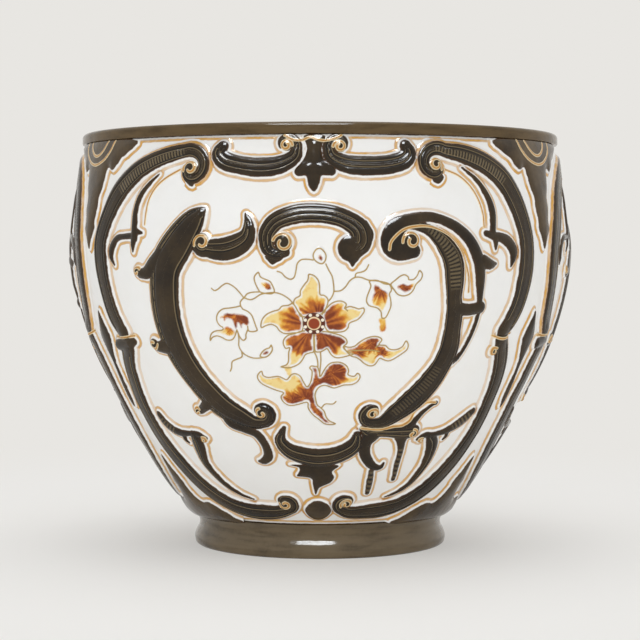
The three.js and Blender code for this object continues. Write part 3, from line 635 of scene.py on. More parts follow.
def setMask(piece, label, values):
    layer = piece.data.attributes.new(label, "FLOAT", "POINT")
    layer.data.foreach_set("value", np.asarray(values, np.float32))


def newMesh(name, points, faces, masks):
    mesh = bpy.data.meshes.new(name)
    mesh.vertices.add(len(points))
    mesh.vertices.foreach_set("co", np.asarray(points, np.float32).ravel())
    mesh.loops.add(faces.size)
    mesh.loops.foreach_set("vertex_index", np.asarray(faces, np.int32).ravel())
    mesh.polygons.add(len(faces))
    mesh.polygons.foreach_set("loop_start", np.arange(0, faces.size, 4, dtype=np.int32))
    mesh.update(calc_edges=True)
    piece = bpy.data.objects.new(name, mesh)
    for label, values in masks.items():
        setMask(piece, label, values)
    bpy.context.scene.collection.objects.link(piece)
    return piece


def thicken(piece, depth):
    # Gives a one-sided skin its back, so that it is a closed piece.
    activate(piece)
    shell = piece.modifiers.new("back", "SOLIDIFY")
    shell.thickness = depth * mm
    shell.offset = -1
    bpy.ops.object.modifier_apply(modifier=shell.name)
    bpy.ops.object.shade_smooth()
    deselect()


def turnedCopy(piece, name, turn):
    copy = piece.copy()
    copy.data = piece.data.copy()
    copy.name = name
    copy.data.name = name
    bpy.context.scene.collection.objects.link(copy)
    copy.rotation_euler = (0, 0, math.radians(turn))
    activate(copy)
    bpy.ops.object.transform_apply(location=False, rotation=True, scale=False)
    deselect()
    return copy


def inAllPanels(piece, name):
    step = 360 / panels["count"]
    return [piece] + [turnedCopy(piece, f"{name}_skin_{panel}", step * (panel - 1))
                      for panel in range(2, panels["count"] + 1)]


def makeRelief(finishes):
    step = 360 / panels["count"]
    forms = makeForms(-step) + makeForms(0) + makeForms(step)
    angles, arcs, owner = shareOut(forms)
    triangles = 0
    for number, name in enumerate(ornament):
        flatAngle, flatArc, faces = netMesh(angles, arcs, owner == number)
        height, masks = field(flatAngle, flatArc, forms)
        piece = newMesh(name + "_skin_1", onWall(flatAngle, flatArc, height), faces, masks)
        thicken(piece, relief["shell"])
        piece.data.materials.append(finishes["olive"] if name in oliveOnes else finishes["umber"])
        for panel, copy in enumerate(inAllPanels(piece, name), 1):
            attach(copy, "root")
            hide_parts(f"{name}_{panel}")
        triangles += 2 * panels["count"] * len(piece.data.polygons)
    print("relief pieces:", panels["count"] * len(ornament), "about", triangles, "triangles")


# The painted spray inside the frame: raised outlines of slip, washes of paint inside them.
# A shape is a closed outline of (degrees, height); "roots" say where its paint is brown, with the
# distances in mm at which the brown begins and has quite turned to yellow. A shape without them is bare.
spray = {
    "centre": (-1.3, 168), "disc": 3.7, "ring": 4.6, "halo": 7.3, "beads": 8, "beadRing": 6.1,
    "bead": 1.1, "line": 0.95, "lineTall": 0.5, "beadTall": 0.9, "dome": 0.35, "gap": 1.3, "cell": 0.54,
    "reach": 2.4, "sunk": 0.15, "shell": 0.8, "washGap": 0.2, "domeRun": 1.8, "heartTall": 0.8,
    "seat": 0.12, "fray": 1.3, "streak": (0.78, 0.22), "sample": 1.2, "netAngles": (-25.5, 25.5),
    "netHeights": (96, 220.5), "netMiddle": 168,
    "shapes": [
        {"outline": [(-3.7, 172.5), (-4.5, 175), (-5.1, 178.5), (-5.6, 181.5), (-5.2, 184.5),
         (-4.2, 186.3), (-4.1, 189.5), (-3.2, 193.8), (-2.6, 196), (-2.4, 198.5), (-2.3, 200.3),
         (-1.2, 199.3), (-0.4, 196.5), (-0.1, 193), (0, 187.2), (0.8, 186.6), (1.5, 184.8), (1.7, 182.5),
         (1.3, 178.5), (0.4, 174.5)], "roots": [(-0.4, 172, 8, 15)]},
        {"outline": [(0.4, 173.5), (1.6, 178.8), (2.6, 181.5), (3.8, 182.8), (4.9, 182.4), (5.6, 180.6),
         (5.3, 178.3), (6.3, 179.2), (7.4, 178.5), (8.3, 177.6), (9.3, 178.2), (9.5, 176), (8.9, 173),
         (8.1, 170.5), (6.4, 168.3), (6.1, 165.2), (5.2, 162.9), (3.4, 162.4), (1.5, 163.8)],
         "roots": [(-1.3, 166, 15, 25)]},
        {"outline": [(-3.8, 172.3), (-4.6, 175.5), (-5.7, 181), (-6.7, 180), (-8.1, 179.4), (-8.8, 177.2),
         (-10.1, 176), (-11.4, 174.2), (-12.4, 171.4), (-12.9, 168), (-12.9, 165.2), (-11.8, 166.6),
         (-10.6, 167.4), (-9.5, 165.8), (-8.9, 163.2), (-7.8, 161.4), (-6.2, 161.7), (-3.9, 163.3)],
         "roots": [(-2.3, 167, 13, 22)]},
        {"outline": [(-3.9, 163), (-5.6, 161.3), (-7, 160.2), (-8, 157.5), (-8.2, 154.3), (-7.7, 151.4),
         (-6.8, 152), (-7.1, 148.5), (-7.3, 142.5), (-7.9, 140.2), (-9.1, 139), (-7.4, 138.4),
         (-5.9, 139.5), (-4.7, 141.5), (-3.9, 144.5), (-3.3, 147.4), (-2.2, 148.6), (-1.4, 149.6),
         (-1.4, 156), (-1.4, 162.5)], "roots": [(-2.5, 162, 15, 19)]},
        {"outline": [(-1.2, 162.5), (-1.2, 156), (-1.1, 149.8), (0, 149.2), (0.9, 150.3), (1.6, 151.4),
         (2.2, 148.8), (2.8, 146.6), (3.8, 145.2), (5.2, 145.6), (6.6, 146.7), (7.6, 147.8), (6.2, 149.2),
         (5.2, 152.4), (6, 154.8), (5.8, 157.6), (4.8, 159.8), (3.4, 161.2), (1.3, 162.6)],
         "roots": [(0.3, 162, 15, 19)]},
        {"outline": [(5.3, 152.4), (6.6, 152.2), (7.8, 153), (8.8, 155.5), (10.2, 158), (11.6, 159.2),
         (13, 159), (13.9, 157), (13.3, 153.8), (14.8, 153.2), (15.7, 151), (16.8, 150.2), (18, 150.7),
         (19, 152.5), (19.6, 156), (20.3, 153.5), (20.1, 150), (18.8, 147), (17.2, 144), (16, 142.8),
         (14.8, 143.6), (13.8, 144.6), (12.8, 140.4), (11.6, 139.6), (10.3, 141.2), (9.2, 143.8),
         (8.2, 145.5), (7, 146.6)], "roots": [(8.4, 148.8, 3, 8), (11.6, 154.6, 4, 8),
         (14, 148.4, 2, 6)]},
        {"outline": [(-3.2, 114.8), (-5.6, 113.3), (-7.2, 112.5), (-8.4, 113.2), (-9.4, 115.6),
         (-9.7, 118.6), (-9, 121.3), (-10.8, 123), (-12.4, 124.8), (-14, 127), (-14.9, 129.8),
         (-15, 132.6), (-14.4, 134.9), (-13.8, 135.8), (-13.6, 133), (-12.4, 131.7), (-10, 132.5),
         (-8.8, 131.2), (-7.9, 130.3), (-6.8, 133.6), (-5.8, 134.4), (-4.7, 132.8), (-4.1, 129.5),
         (-3.3, 125.7), (-2.8, 126), (-2.2, 129), (-1.9, 133), (-1.9, 136.5), (-2.4, 138.3), (-2, 139.7),
         (-1.3, 139.4), (-0.6, 139), (-0.2, 136), (0.1, 132.6), (0.9, 136.5), (1.6, 139.5), (2.5, 141.6),
         (4, 142.3), (5.3, 141.4), (6.3, 139.2), (6.7, 136.3), (6.6, 133.8), (7.5, 132.7), (8.3, 132.8),
         (8.8, 134.6), (9.4, 133.6), (9.5, 131.3), (8.8, 128.4), (7.5, 126.9), (5.8, 126.7), (4.6, 125.6),
         (3.4, 124.7), (2.3, 125.6), (1.3, 126.5), (0.2, 126), (-0.7, 123.8), (-1.2, 120.5), (-1.1, 117),
         (-0.7, 113), (0.2, 111), (1.1, 108.4), (1.6, 104.6), (2.5, 101.8), (4.1, 99.8), (2.6, 99.2),
         (1.2, 99.9), (0.3, 101.7), (-0.6, 103.6), (-1.5, 105.4), (-2.4, 108), (-3, 111)],
         "roots": [(-6.8, 115.5, 4, 10), (-3.6, 117.5, 6, 11), (-2, 121, 6, 11), (-0.8, 130, 9, 14),
         (2.6, 135, 8, 13), (-0.4, 107, 9, 13)]},
        {"outline": [(-12.9, 201.5), (-13.8, 198.5), (-13.7, 195), (-13.2, 191.2), (-12.6, 188.6),
         (-11.4, 187.7), (-10.2, 187.6), (-9.6, 189), (-9.9, 192.4), (-10.5, 195.6), (-11.5, 197),
         (-12.5, 198.6)]},
        {"outline": [(-0.9, 216), (-1.4, 213), (-1.2, 210), (-0.4, 207.8), (0.5, 207.2), (1.1, 209.4),
         (1.2, 213), (0.5, 216.2), (-0.2, 217.2)]},
        {"outline": [(-11, 153.6), (-10.8, 150.6), (-11.5, 147.4), (-12.6, 145.4), (-13.8, 146),
         (-13.1, 149.2), (-12.2, 151), (-11.4, 151.8)]},
        {"outline": [(10.4, 196), (10.7, 192.8), (10.4, 189.5), (10, 186), (9.9, 182.5), (10.5, 179.8),
         (11.6, 178.8), (12.4, 178), (13.2, 175.5), (13.5, 171.6), (14.3, 171.8), (14.9, 175.5),
         (15.3, 179.6), (15.1, 184), (14.8, 187.5), (15.2, 190), (14.6, 193.8), (12.6, 195.6)]},
        {"outline": [(15, 193.6), (15.8, 196), (17, 199), (18, 199.8), (18.8, 198.2), (18.9, 196.7),
         (20, 196.8), (20.8, 199.5), (21.2, 202.6), (21.9, 200.4), (21.7, 197), (20.6, 193.5),
         (20.1, 190), (19.3, 187.2), (18, 186), (16.7, 187), (15.8, 190)]},
    ],
    "washes": [
        {"outline": [(-12.4, 194.6), (-11.4, 194.8), (-10.4, 193.4), (-10.2, 190.6), (-11.2, 190.2),
         (-12.2, 192)], "roots": [(-10.7, 191.5, 1.5, 5)]},
        {"outline": [(-0.4, 212), (0, 213), (0.5, 211), (0.4, 209.2), (0, 209.8)],
         "roots": [(0.3, 210.3, 2, 4)]},
        {"outline": [(-13.2, 147.6), (-12.5, 149.3), (-11.7, 149.2), (-11.9, 147.6), (-12.7, 146.7)],
         "roots": [(-12.5, 148, 4, 6)]},
        {"outline": [(11.4, 193.4), (12.4, 192.3), (14.4, 188.2), (14.5, 183), (13.8, 177), (13.3, 175.6),
         (12.7, 178.8), (11.3, 180.4), (11.2, 185), (11.5, 189)], "roots": [(12.9, 190.5, 4, 11)]},
        {"outline": [(13, 171.2), (13, 166), (13.4, 162.6), (14.2, 162.3), (14.6, 165), (14.3, 171.5)],
         "roots": [(13.8, 162, -14, 14)]},
        {"outline": [(-8.6, 138.8), (-8, 136), (-7.5, 132), (-6.9, 132), (-6.6, 138.6)], "roots": []},
        {"outline": [(16.5, 192), (17.6, 194.4), (18.8, 193.2), (20.3, 194.8), (20.4, 193), (19.6, 190.4),
         (18.6, 188.6), (17.4, 189.6)], "roots": [(17.7, 191.6, 3.5, 7)]},
        {"outline": [(-22.4, 171.2), (-21.2, 173.6), (-19.5, 174.3), (-17.5, 174), (-16, 172.5),
         (-15.6, 169), (-16.2, 166.2), (-17, 167.5), (-17.6, 164.5), (-18.2, 168), (-18.8, 163.6),
         (-19.3, 167.5), (-19.9, 170.4), (-20.9, 170.8), (-21.4, 168.6), (-21.6, 171)],
         "roots": [(-18.5, 172.4, 8, 12)]},
        {"outline": [(-21.8, 163.8), (-20.8, 165.2), (-19.4, 163.5), (-19.2, 160.4), (-20.6, 158.8),
         (-22.2, 160.6), (-23.8, 161.2)], "roots": [(-20.4, 163, -6, 9)]},
    ],
    "lines": [
        [(-5.7, 181), (-6.5, 184), (-8, 187), (-9.6, 188.3), (-11.6, 187.8), (-12.8, 186.8),
         (-13.9, 184.6), (-14.8, 183.6), (-15.6, 184), (-16.3, 184.7), (-17.2, 182), (-17.2, 179.4)],
        [(-12.9, 188.7), (-14.5, 188.4), (-15.6, 187.3), (-16.3, 185), (-17, 187.5), (-18.2, 191.5),
         (-19.8, 194.2), (-21, 192.8), (-22, 190.5), (-22.9, 189.4), (-23.6, 190.8)],
        [(-21.9, 165), (-22.6, 166.4), (-23.1, 169), (-23, 172.5), (-22.3, 175.5), (-21.2, 177.4),
         (-19.6, 178), (-18.2, 178.7), (-17.2, 179.3), (-16.8, 177.4), (-15.8, 176), (-14.9, 173.4),
         (-14.4, 169), (-14.1, 165.5), (-13.9, 163.4), (-14.9, 162.4), (-15.9, 163), (-16, 166)],
        [(-21.8, 164), (-22.3, 163), (-23.6, 162.6), (-24.8, 161), (-25.4, 158), (-25.5, 156),
         (-24.8, 158.2), (-23.6, 159.2), (-22.4, 158.2), (-21.3, 156.6), (-20, 156.9), (-19.2, 159.6),
         (-18.7, 163)],
        [(-18.6, 163.5), (-18.1, 158.8), (-17.4, 156.5), (-16.7, 158), (-16.6, 160.5), (-16.1, 163.5)],
        [(-18.4, 161), (-18.4, 157), (-18.6, 153), (-18.2, 149.5), (-17.2, 146.6), (-15.6, 144.8),
         (-13.8, 144.8), (-12.4, 145.6)],
        [(-18.1, 149), (-18.2, 145.5), (-19.5, 143.8), (-20.8, 142), (-21.2, 138), (-21.7, 135.5)],
        [(1.7, 182.5), (2.4, 185), (2.9, 189), (2.8, 194), (2.5, 199), (1.8, 203), (1.2, 207)],
        [(2.9, 189.2), (4.3, 189.6), (5.3, 192), (6.2, 196), (7.3, 198.2), (8.6, 198.2), (10.2, 196.4),
         (12, 196.2), (13.6, 194), (15, 193.6)],
        [(7.3, 198.3), (7.5, 200.8), (8.5, 201.6), (9.5, 203), (10.1, 206.5)],
        [(-1.4, 209.5), (-2.4, 210), (-3.8, 209.8), (-4.7, 207), (-5, 202), (-5.4, 198.2), (-6.2, 197),
         (-7.2, 198.5), (-8, 201.2), (-8.9, 202.2)],
        [(0.4, 111), (1.3, 113.6), (2.6, 113.6), (3.4, 113.8), (4, 115.4)],
        [(-1.4, 149.6), (-0.8, 146), (-0.5, 142), (-0.5, 139)],
        [(0.1, 149.2), (0.2, 143), (0, 137), (-0.1, 132.6)],
        [(6, 149.6), (8, 150), (10, 150.2), (12, 150), (13.5, 149.2)],
        [(-1.3, 162), (-1.4, 156), (-1.2, 149.7)],
        [(12.6, 152), (13.4, 153.8)],
        [(5.2, 178.2), (5.9, 176.4)],
    ],
}


def traceSpray():
    traced = []
    for kind in ("shapes", "washes"):
        for shape in spray[kind]:
            traced.append({"kind": kind, "line": smoothPath(laid(shape["outline"]), spray["sample"], True),
                           "roots": laid(shape.get("roots", [])), "painted": "roots" in shape})
    for points in spray["lines"]:
        traced.append(linePoints("line", smoothPath(laid(points), spray["sample"]), spray["line"]))
    for item in traced:
        item["box"] = boxOf(item["line"], spray["reach"] + 1)
    return traced


def brownOf(angle, arc, roots):
    # How brown the paint is: sums of sines round each root give it streaks and a frayed edge.
    brown = np.zeros(len(angle))
    deep, light = spray["streak"]
    for rootAngle, rootArc, near, far in roots:
        dx = (angle - rootAngle) * degreeAt(arc)
        dy = arc - rootArc
        turn = np.arctan2(dx, dy)
        away = np.hypot(dx, dy) + spray["fray"] * np.sin(turn * 17 + 2 * np.sin(turn * 7))
        streak = deep + light * np.sin(turn * 11 + 3 * np.sin(turn * 5))
        brown = np.maximum(brown, streak * (1 - np.clip((away - near) / (far - near), 0, 1)))
    return brown


def sprayField(angle, arc, traced):
    # For each point: distance from the nearest line of slip, depth inside the paint, how brown it is,
    # distance from the flower's heart and nearest bead; then its height, and distance from all of these.
    count = len(angle)
    slip = np.full(count, 9.0)
    fill = np.full(count, -9.0)
    tone = np.zeros(count)
    for item, index, a, s in reached(angle, arc, traced):
        if item["kind"] == "line":
            away = toScroll(a, s, item)[0] + spray["line"] / 2
            put(slip, index, away < slip[index], away)
            continue
        outside = toLeaf(a, s, item)
        gap = spray["washGap"]
        if item["kind"] == "shapes":
            gap = spray["gap"]
            put(slip, index, np.abs(outside) < slip[index], np.abs(outside))
        if item["painted"]:
            more = -outside - gap > fill[index]
            put(fill, index, more, -outside - gap)
            put(tone, index, more, brownOf(a, s, item["roots"]))
    heartAngle, heartArc = laid([spray["centre"]])[0]
    dx = (angle - heartAngle) * degreeAt(arc)
    dy = arc - heartArc
    heart = np.hypot(dx, dy)
    slip = np.where(heart < spray["halo"], 9, slip)
    bead = np.full(count, 9.0)
    for i in range(spray["beads"]):
        turn = 2 * math.pi * (i + 0.5) / spray["beads"]
        ring = spray["beadRing"]
        bead = np.minimum(bead, np.hypot(dx - ring * math.sin(turn), dy - ring * math.cos(turn)))
    height = spray["dome"] * (1 - np.exp(-np.maximum(fill, 0) / spray["domeRun"]))
    for tall, away, radius in (("lineTall", slip, 0.75 * spray["line"]), ("heartTall", heart, spray["ring"]),
                               ("beadTall", bead, spray["bead"])):
        height = np.maximum(height, spray[tall] * ball(away, radius))
    near = np.minimum(np.minimum(slip, np.maximum(-fill, 0)), np.maximum(heart - spray["halo"], 0))
    sink = (spray["seat"] + spray["sunk"]) * smoothStep(1.0, spray["reach"], near)
    height = height + spray["seat"] - sink
    return {"slip": slip, "fill": fill, "tone": tone, "heart": heart, "bead": bead}, height, near


def makeSpray(finish):
    traced = traceSpray()
    angles, arcs, flatA, flatS, shape = layNet(spray)
    here = sprayField(flatA, flatS, traced)[2].reshape(shape) < spray["reach"]
    flatAngle, flatArc, faces = netMesh(angles, arcs, here)
    masks, height = sprayField(flatAngle, flatArc, traced)[:2]
    piece = newMesh("flower_spray_skin_1", onWall(flatAngle, flatArc, height), faces, masks)
    thicken(piece, spray["shell"])
    piece.data.materials.append(finish)
    for copy in inAllPanels(piece, "flower_spray"):
        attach(copy, "root")
        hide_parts("pot_wall")
    print("flower sprays: 3, each", 2 * len(piece.data.polygons), "triangles")


def turnProfile(name, profile, sides):
    # Draws the profile point by point and spins it round the pot's axis.
    deselect()
    (radius, z) = profile[0]
    bpy.ops.mesh.primitive_plane_add(size=0.001, location=(radius * mm, 0, z * mm))
    piece = bpy.context.object
    piece.name = name
    piece.data.name = name
    bpy.ops.object.transform_apply(location=True, rotation=True, scale=True)
    bpy.ops.object.mode_set(mode="EDIT")
    bpy.ops.mesh.select_mode(type="VERT")
    bpy.ops.mesh.select_all(action="SELECT")
    bpy.ops.mesh.merge(type="CENTER")
    for (r0, z0), (r1, z1) in zip(profile, profile[1:]):
        step = ((r1 - r0) * mm, 0, (z1 - z0) * mm)
        bpy.ops.mesh.extrude_region_move(TRANSFORM_OT_translate={"value": step})
    bpy.ops.mesh.select_all(action="SELECT")
    bpy.ops.mesh.spin(steps=sides, angle=2 * math.pi, center=(0, 0, 0), axis=(0, 0, 1))
    bpy.ops.mesh.select_all(action="SELECT")
    bpy.ops.mesh.remove_doubles(threshold=1e-6)
    bpy.ops.mesh.normals_make_consistent(inside=False)
    bpy.ops.object.mode_set(mode="OBJECT")
    bpy.ops.object.shade_smooth()
    deselect()
    return piece


def rounded(radius, z, size, start, end, steps):
    # points on an arc of the given size round (radius, z), from start to end degrees
    turns = np.radians(start + (end - start) * np.arange(steps + 1) / steps)
    return [(radius + size * math.cos(turn), z + size * math.sin(turn)) for turn in turns]


def wallProfile():
    rimLap, rows = 0.6, 72  # mm that the wall runs on under the rim, and its rows of points
    arcs = np.linspace(arcAt(pot["footHeight"] - pot["lap"]),
                       arcAt(pot["height"] - pot["rimHeight"] + rimLap), rows)
    radius, z, out, down = wallAt(arcs)
    top = z[-1]
    inner = zip(radius - out * pot["wall"], z - down * pot["wall"])
    lowest = pot["floorTop"] + 9  # below this the floor's curve takes over
    inside = [point for point in inner if lowest < point[1] < top - 1][::-2]
    floor = [(inside[-1][0] - away, pot["floorTop"] + up) for away, up in pot["floorCurve"]]
    under = pot["footInner"] + 2  # the bowl's underside ends behind the foot ring
    return ([(0, pot["footRecess"]), (under - 6, pot["footRecess"]), (under, pot["footRecess"]),
             (under, pot["footHeight"] - pot["lap"])] + list(zip(radius, z)) + [(inside[0][0], top)]
            + inside + floor + [(0, pot["floorTop"])])


def makeWall(finish):
    piece = turnProfile("pot_wall_skin", wallProfile(), pot["sides"])
    points = np.empty(len(piece.data.vertices) * 3, np.float32)
    piece.data.vertices.foreach_get("co", points)
    x, y, z = points.reshape(-1, 3).T / mm
    outside = np.hypot(x, y) > np.interp(z, outline["z"], outline["radius"]) - pot["wall"] / 4
    white = 60  # mm from any dark edge, so that the inside stays white
    setMask(piece, "edge", np.where(outside, whiteFrom(arcAt(z)), white))
    for label, value in (("gild", 1), ("slot", relief["far"]), ("trail", relief["far"])):
        setMask(piece, label, np.full(len(z), value))
    piece.data.materials.append(finish)
    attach(piece, "root")
    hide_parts("pot_wall")


rim = {"over": 3.1, "ledge": 3.4, "lowRound": 1.3, "outerRound": 3.2, "innerRound": 3.6, "below": 0.1}


def makeRim(finish):
    inner = pot["mouthRadius"] - pot["mouthLean"] - pot["wall"] + pot["lap"]
    outer = pot["mouthRadius"] + rim["over"]
    bottom = pot["height"] - pot["rimHeight"]
    top = pot["height"] - rim["below"]
    low, out, into = rim["lowRound"], rim["outerRound"], rim["innerRound"]
    profile = [(inner, bottom), (outer - rim["ledge"], bottom)]
    profile += rounded(outer - low, bottom + low, low, -90, 0, 5)
    profile += rounded(outer - out, top - out, out, 4, 88, 8)
    profile += rounded(inner + into, top - into, into, 92, 178, 8)
    piece = turnProfile("rim_band_skin", profile + [(inner, bottom)], pot["sides"])
    piece.data.materials.append(finish)
    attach(piece, "root")
    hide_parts("rim_band")


# The foot's moulding as (radius, height), from the table up.
foot = {
    "neck": [(92.3, 1), (92.9, 5), (91.6, 9.5), (89.7, 13), (89.2, 16.4), (90.4, 20), (92.6, 23),
             (94.2, 25.2)],
    "sample": 1.6, "bottom": 0.05, "bevel": 1.2, "sole": 91.2, "seat": 90,
}


def makeFoot(finish):
    inner, top = pot["footInner"], pot["glazeBottom"]
    start = (inner + foot["bevel"], foot["bottom"])
    profile = [start, (foot["sole"], foot["bottom"])]
    profile += [tuple(point) for point in smoothPath(foot["neck"], foot["sample"])]
    profile += [(foot["seat"], top), (inner, top), (inner, foot["bevel"]), start]
    piece = turnProfile("foot_ring_skin", profile, pot["sides"])
    piece.data.materials.append(finish)
    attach(piece, "root")
    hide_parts("foot_ring")


def feed(tree, socket, value):
    # a socket takes another node's output, a colour or a plain value
    if isinstance(value, bpy.types.NodeSocket):
        tree.links.new(value, socket)
    elif socket.type == "RGBA":
        socket.default_value = (*value, 1)
    else:
        socket.default_value = value


def addNode(tree, kind, at, inputs=None, **settings):
    node = tree.nodes.new("ShaderNode" + kind)
    node.location = at
    for key, value in settings.items():
        setattr(node, key, value)
    for key, value in (inputs or {}).items():
        feed(tree, node.inputs[key], value)
    return node


def calc(tree, operation, at, *values, **settings):
    return addNode(tree, "Math", at, dict(enumerate(values)), operation=operation, **settings).outputs[0]


def noise(tree, at, place, label):
    scale, detail = noises[label]
    return addNode(tree, "TexNoise", at, {"Vector": place, "Scale": scale, "Detail": detail}).outputs["Fac"]


def spread(tree, at, value, start, end, **settings):
    # start and end: the value there, and what it becomes
    inputs = {"Value": value, "From Min": start[0], "From Max": end[0], "To Min": start[1], "To Max": end[1]}
    return addNode(tree, "MapRange", at, inputs, **settings).outputs["Result"]


def mixColour(tree, at, mask, first, second):
    inputs = {"Factor": mask, "A": first, "B": second}
    return addNode(tree, "Mix", at, inputs, data_type="RGBA").outputs["Result"]


def objectPlace(tree, at):
    return addNode(tree, "TexCoord", at).outputs["Object"]


def linear(red, green, blue):
    # a colour as it is seen on a screen (0 to 255), as the light it gives
    shares = (red / 255, green / 255, blue / 255)
    return tuple(c / 12.92 if c <= 0.04045 else ((c + 0.055) / 1.055) ** 2.4 for c in shares)


# Glazes: colours where they lie thick and thin, how they shine, and the scale and detail of their noises.
glaze = {
    "white": linear(243, 242, 239), "whiteThin": linear(238, 235, 228),
    "umber": linear(29, 20, 10), "umberThin": linear(68, 53, 30),
    "olive": linear(42, 31, 19), "oliveThin": linear(98, 80, 54),
    "foot": linear(50, 40, 27), "footThin": linear(114, 99, 76),
    # Painted light: the groove colour is painted shade for grooves and rib hollows, and the next colour is
    # painted highlight for rib crests and groove glints.
    "groove": linear(14, 9, 4), "paintedHighlight": linear(142, 124, 92), "brownEdge": linear(82, 50, 22),
    "gold": linear(230, 180, 92), "goldDeep": linear(188, 134, 60), "cream": linear(242, 222, 180),
}
shine = {"IOR": 1.5, "Specular IOR Level": 0.28, "Coat Weight": 0.06, "Coat Roughness": 0.04}
noises = {"broad": (38, 3), "mottle": (420, 4), "skin": (90, 1.5), "wobble": (230, 2), "patchy": (75, 3),
          "streaks": (1, 3), "blot": (240, 3)}
# Bands of glaze as distances in mm, from, to, and the softness of the ends.
bands = {
    "groove": (-9, 0.42, 0.4), "glint": (0.5, 1.0, 0.3), "worn": (-0.5, 0.25, 0.9), "white": (0.1, 500, 0.3),
    "gold": (1.4, 3.1, 0.7), "goldCore": (1.8, 2.7, 0.9), "pool": (0.7, 9, 0.6),
    "trail": (-9, 0.55, 0.4), "trailPale": (-9, 1.05, 0.35), "paint": (0.1, 99, 1.3),
    "halo": (-9, spray["halo"] + 0.1, 0.5), "disc": (-9, spray["disc"], 0.5),
    "ring": (-9, spray["ring"], 0.3), "bead": (-9, spray["bead"], 0.3), "slip": (-9, spray["line"] / 2, 0.35),
}


def newGroup(name, inputs, outputs):
    group = bpy.data.node_groups.new(name, "ShaderNodeTree")
    for side, sockets in (("INPUT", inputs), ("OUTPUT", outputs)):
        for label, kind in sockets.items():
            group.interface.new_socket(label, in_out=side, socket_type="NodeSocket" + kind)
    into = group.nodes.new("NodeGroupInput")
    into.location = (-900, 0)
    out = group.nodes.new("NodeGroupOutput")
    out.location = (500, 0)
    return group, into.outputs, out.inputs


def makeGlazeGroup():
    # Pooled glaze: drifting tone, fine mottle and a gently uneven skin.
    inputs = {"Thick": "Color", "Thin": "Color", "Drift": "Float", "Worn": "Float"}
    outputs = {"Color": "Color", "Height": "Float", "Roughness": "Float"}
    group, into, out = newGroup("glazeDrift", inputs, outputs)
    place = objectPlace(group, (-900, -300))
    broad, mottle, skin = (noise(group, (-650, -260 * row), place, label)
                           for row, label in enumerate(("broad", "mottle", "skin")))
    scaled = calc(group, "MULTIPLY_ADD", (-420, 60), broad, into["Drift"], into["Worn"])
    grain = calc(group, "MULTIPLY_ADD", (-220, 60), mottle, 0.22, scaled)
    amount = spread(group, (-20, 60), grain, (0.25, 0), (1.15, 1), interpolation_type="SMOOTHSTEP")
    feed(group, out["Color"], mixColour(group, (200, 120), amount, into["Thick"], into["Thin"]))
    feed(group, out["Height"], skin)
    feed(group, out["Roughness"], spread(group, (200, -200), mottle, (0, 0.08), (1, 0.2)))
    return group


def makeBandGroup():
    # 1 where a distance lies between two others, with soft ends.
    inputs = dict.fromkeys(("Distance", "From", "To", "Soft"), "Float")
    group, into, out = newGroup("softBand", inputs, {"Mask": "Float"})
    masks = []
    for row, (high, low) in enumerate((("Distance", "From"), ("To", "Distance"))):
        away = calc(group, "SUBTRACT", (-380, -200 * row), into[high], into[low])
        part = calc(group, "DIVIDE", (-180, -200 * row), away, into["Soft"])
        masks.append(calc(group, "ADD", (20, -200 * row), part, 0.5, use_clamp=True))
    feed(group, out["Mask"], calc(group, "MULTIPLY", (240, 0), *masks))
    return group


groups = {"glaze": makeGlazeGroup(), "band": makeBandGroup()}


def newMaterial(name, changes=None):
    material = bpy.data.materials.new(name)
    material.use_nodes = True
    tree = material.node_tree
    shader = tree.nodes["Principled BSDF"]
    for label, value in {**shine, **(changes or {})}.items():
        feed(tree, shader.inputs[label], value)
    return material, tree, shader


def readMasks(tree, labels):
    return {label: addNode(tree, "Attribute", (-1500, -180 * row), attribute_name=label).outputs["Fac"]
            for row, label in enumerate(labels)}


def useGlaze(tree, at, tone, drift, worn=0):
    inputs = {"Thick": glaze[tone], "Thin": glaze[tone + "Thin"], "Drift": drift, "Worn": worn}
    return addNode(tree, "Group", at, inputs, node_tree=groups["glaze"]).outputs


def bandMask(tree, at, distance, label):
    low, high, soft = bands[label]
    inputs = {"Distance": distance, "From": low, "To": high, "Soft": soft}
    return addNode(tree, "Group", at, inputs, node_tree=groups["band"]).outputs["Mask"]


def finishGlaze(tree, shader, colour, roughness, height, strength, distance):
    bump = addNode(tree, "Bump", (500, -400), {"Strength": strength, "Distance": distance, "Height": height})
    normal = bump.outputs["Normal"]
    for label, value in (("Base Color", colour), ("Roughness", roughness), ("Normal", normal)):
        feed(tree, shader.inputs[label], value)


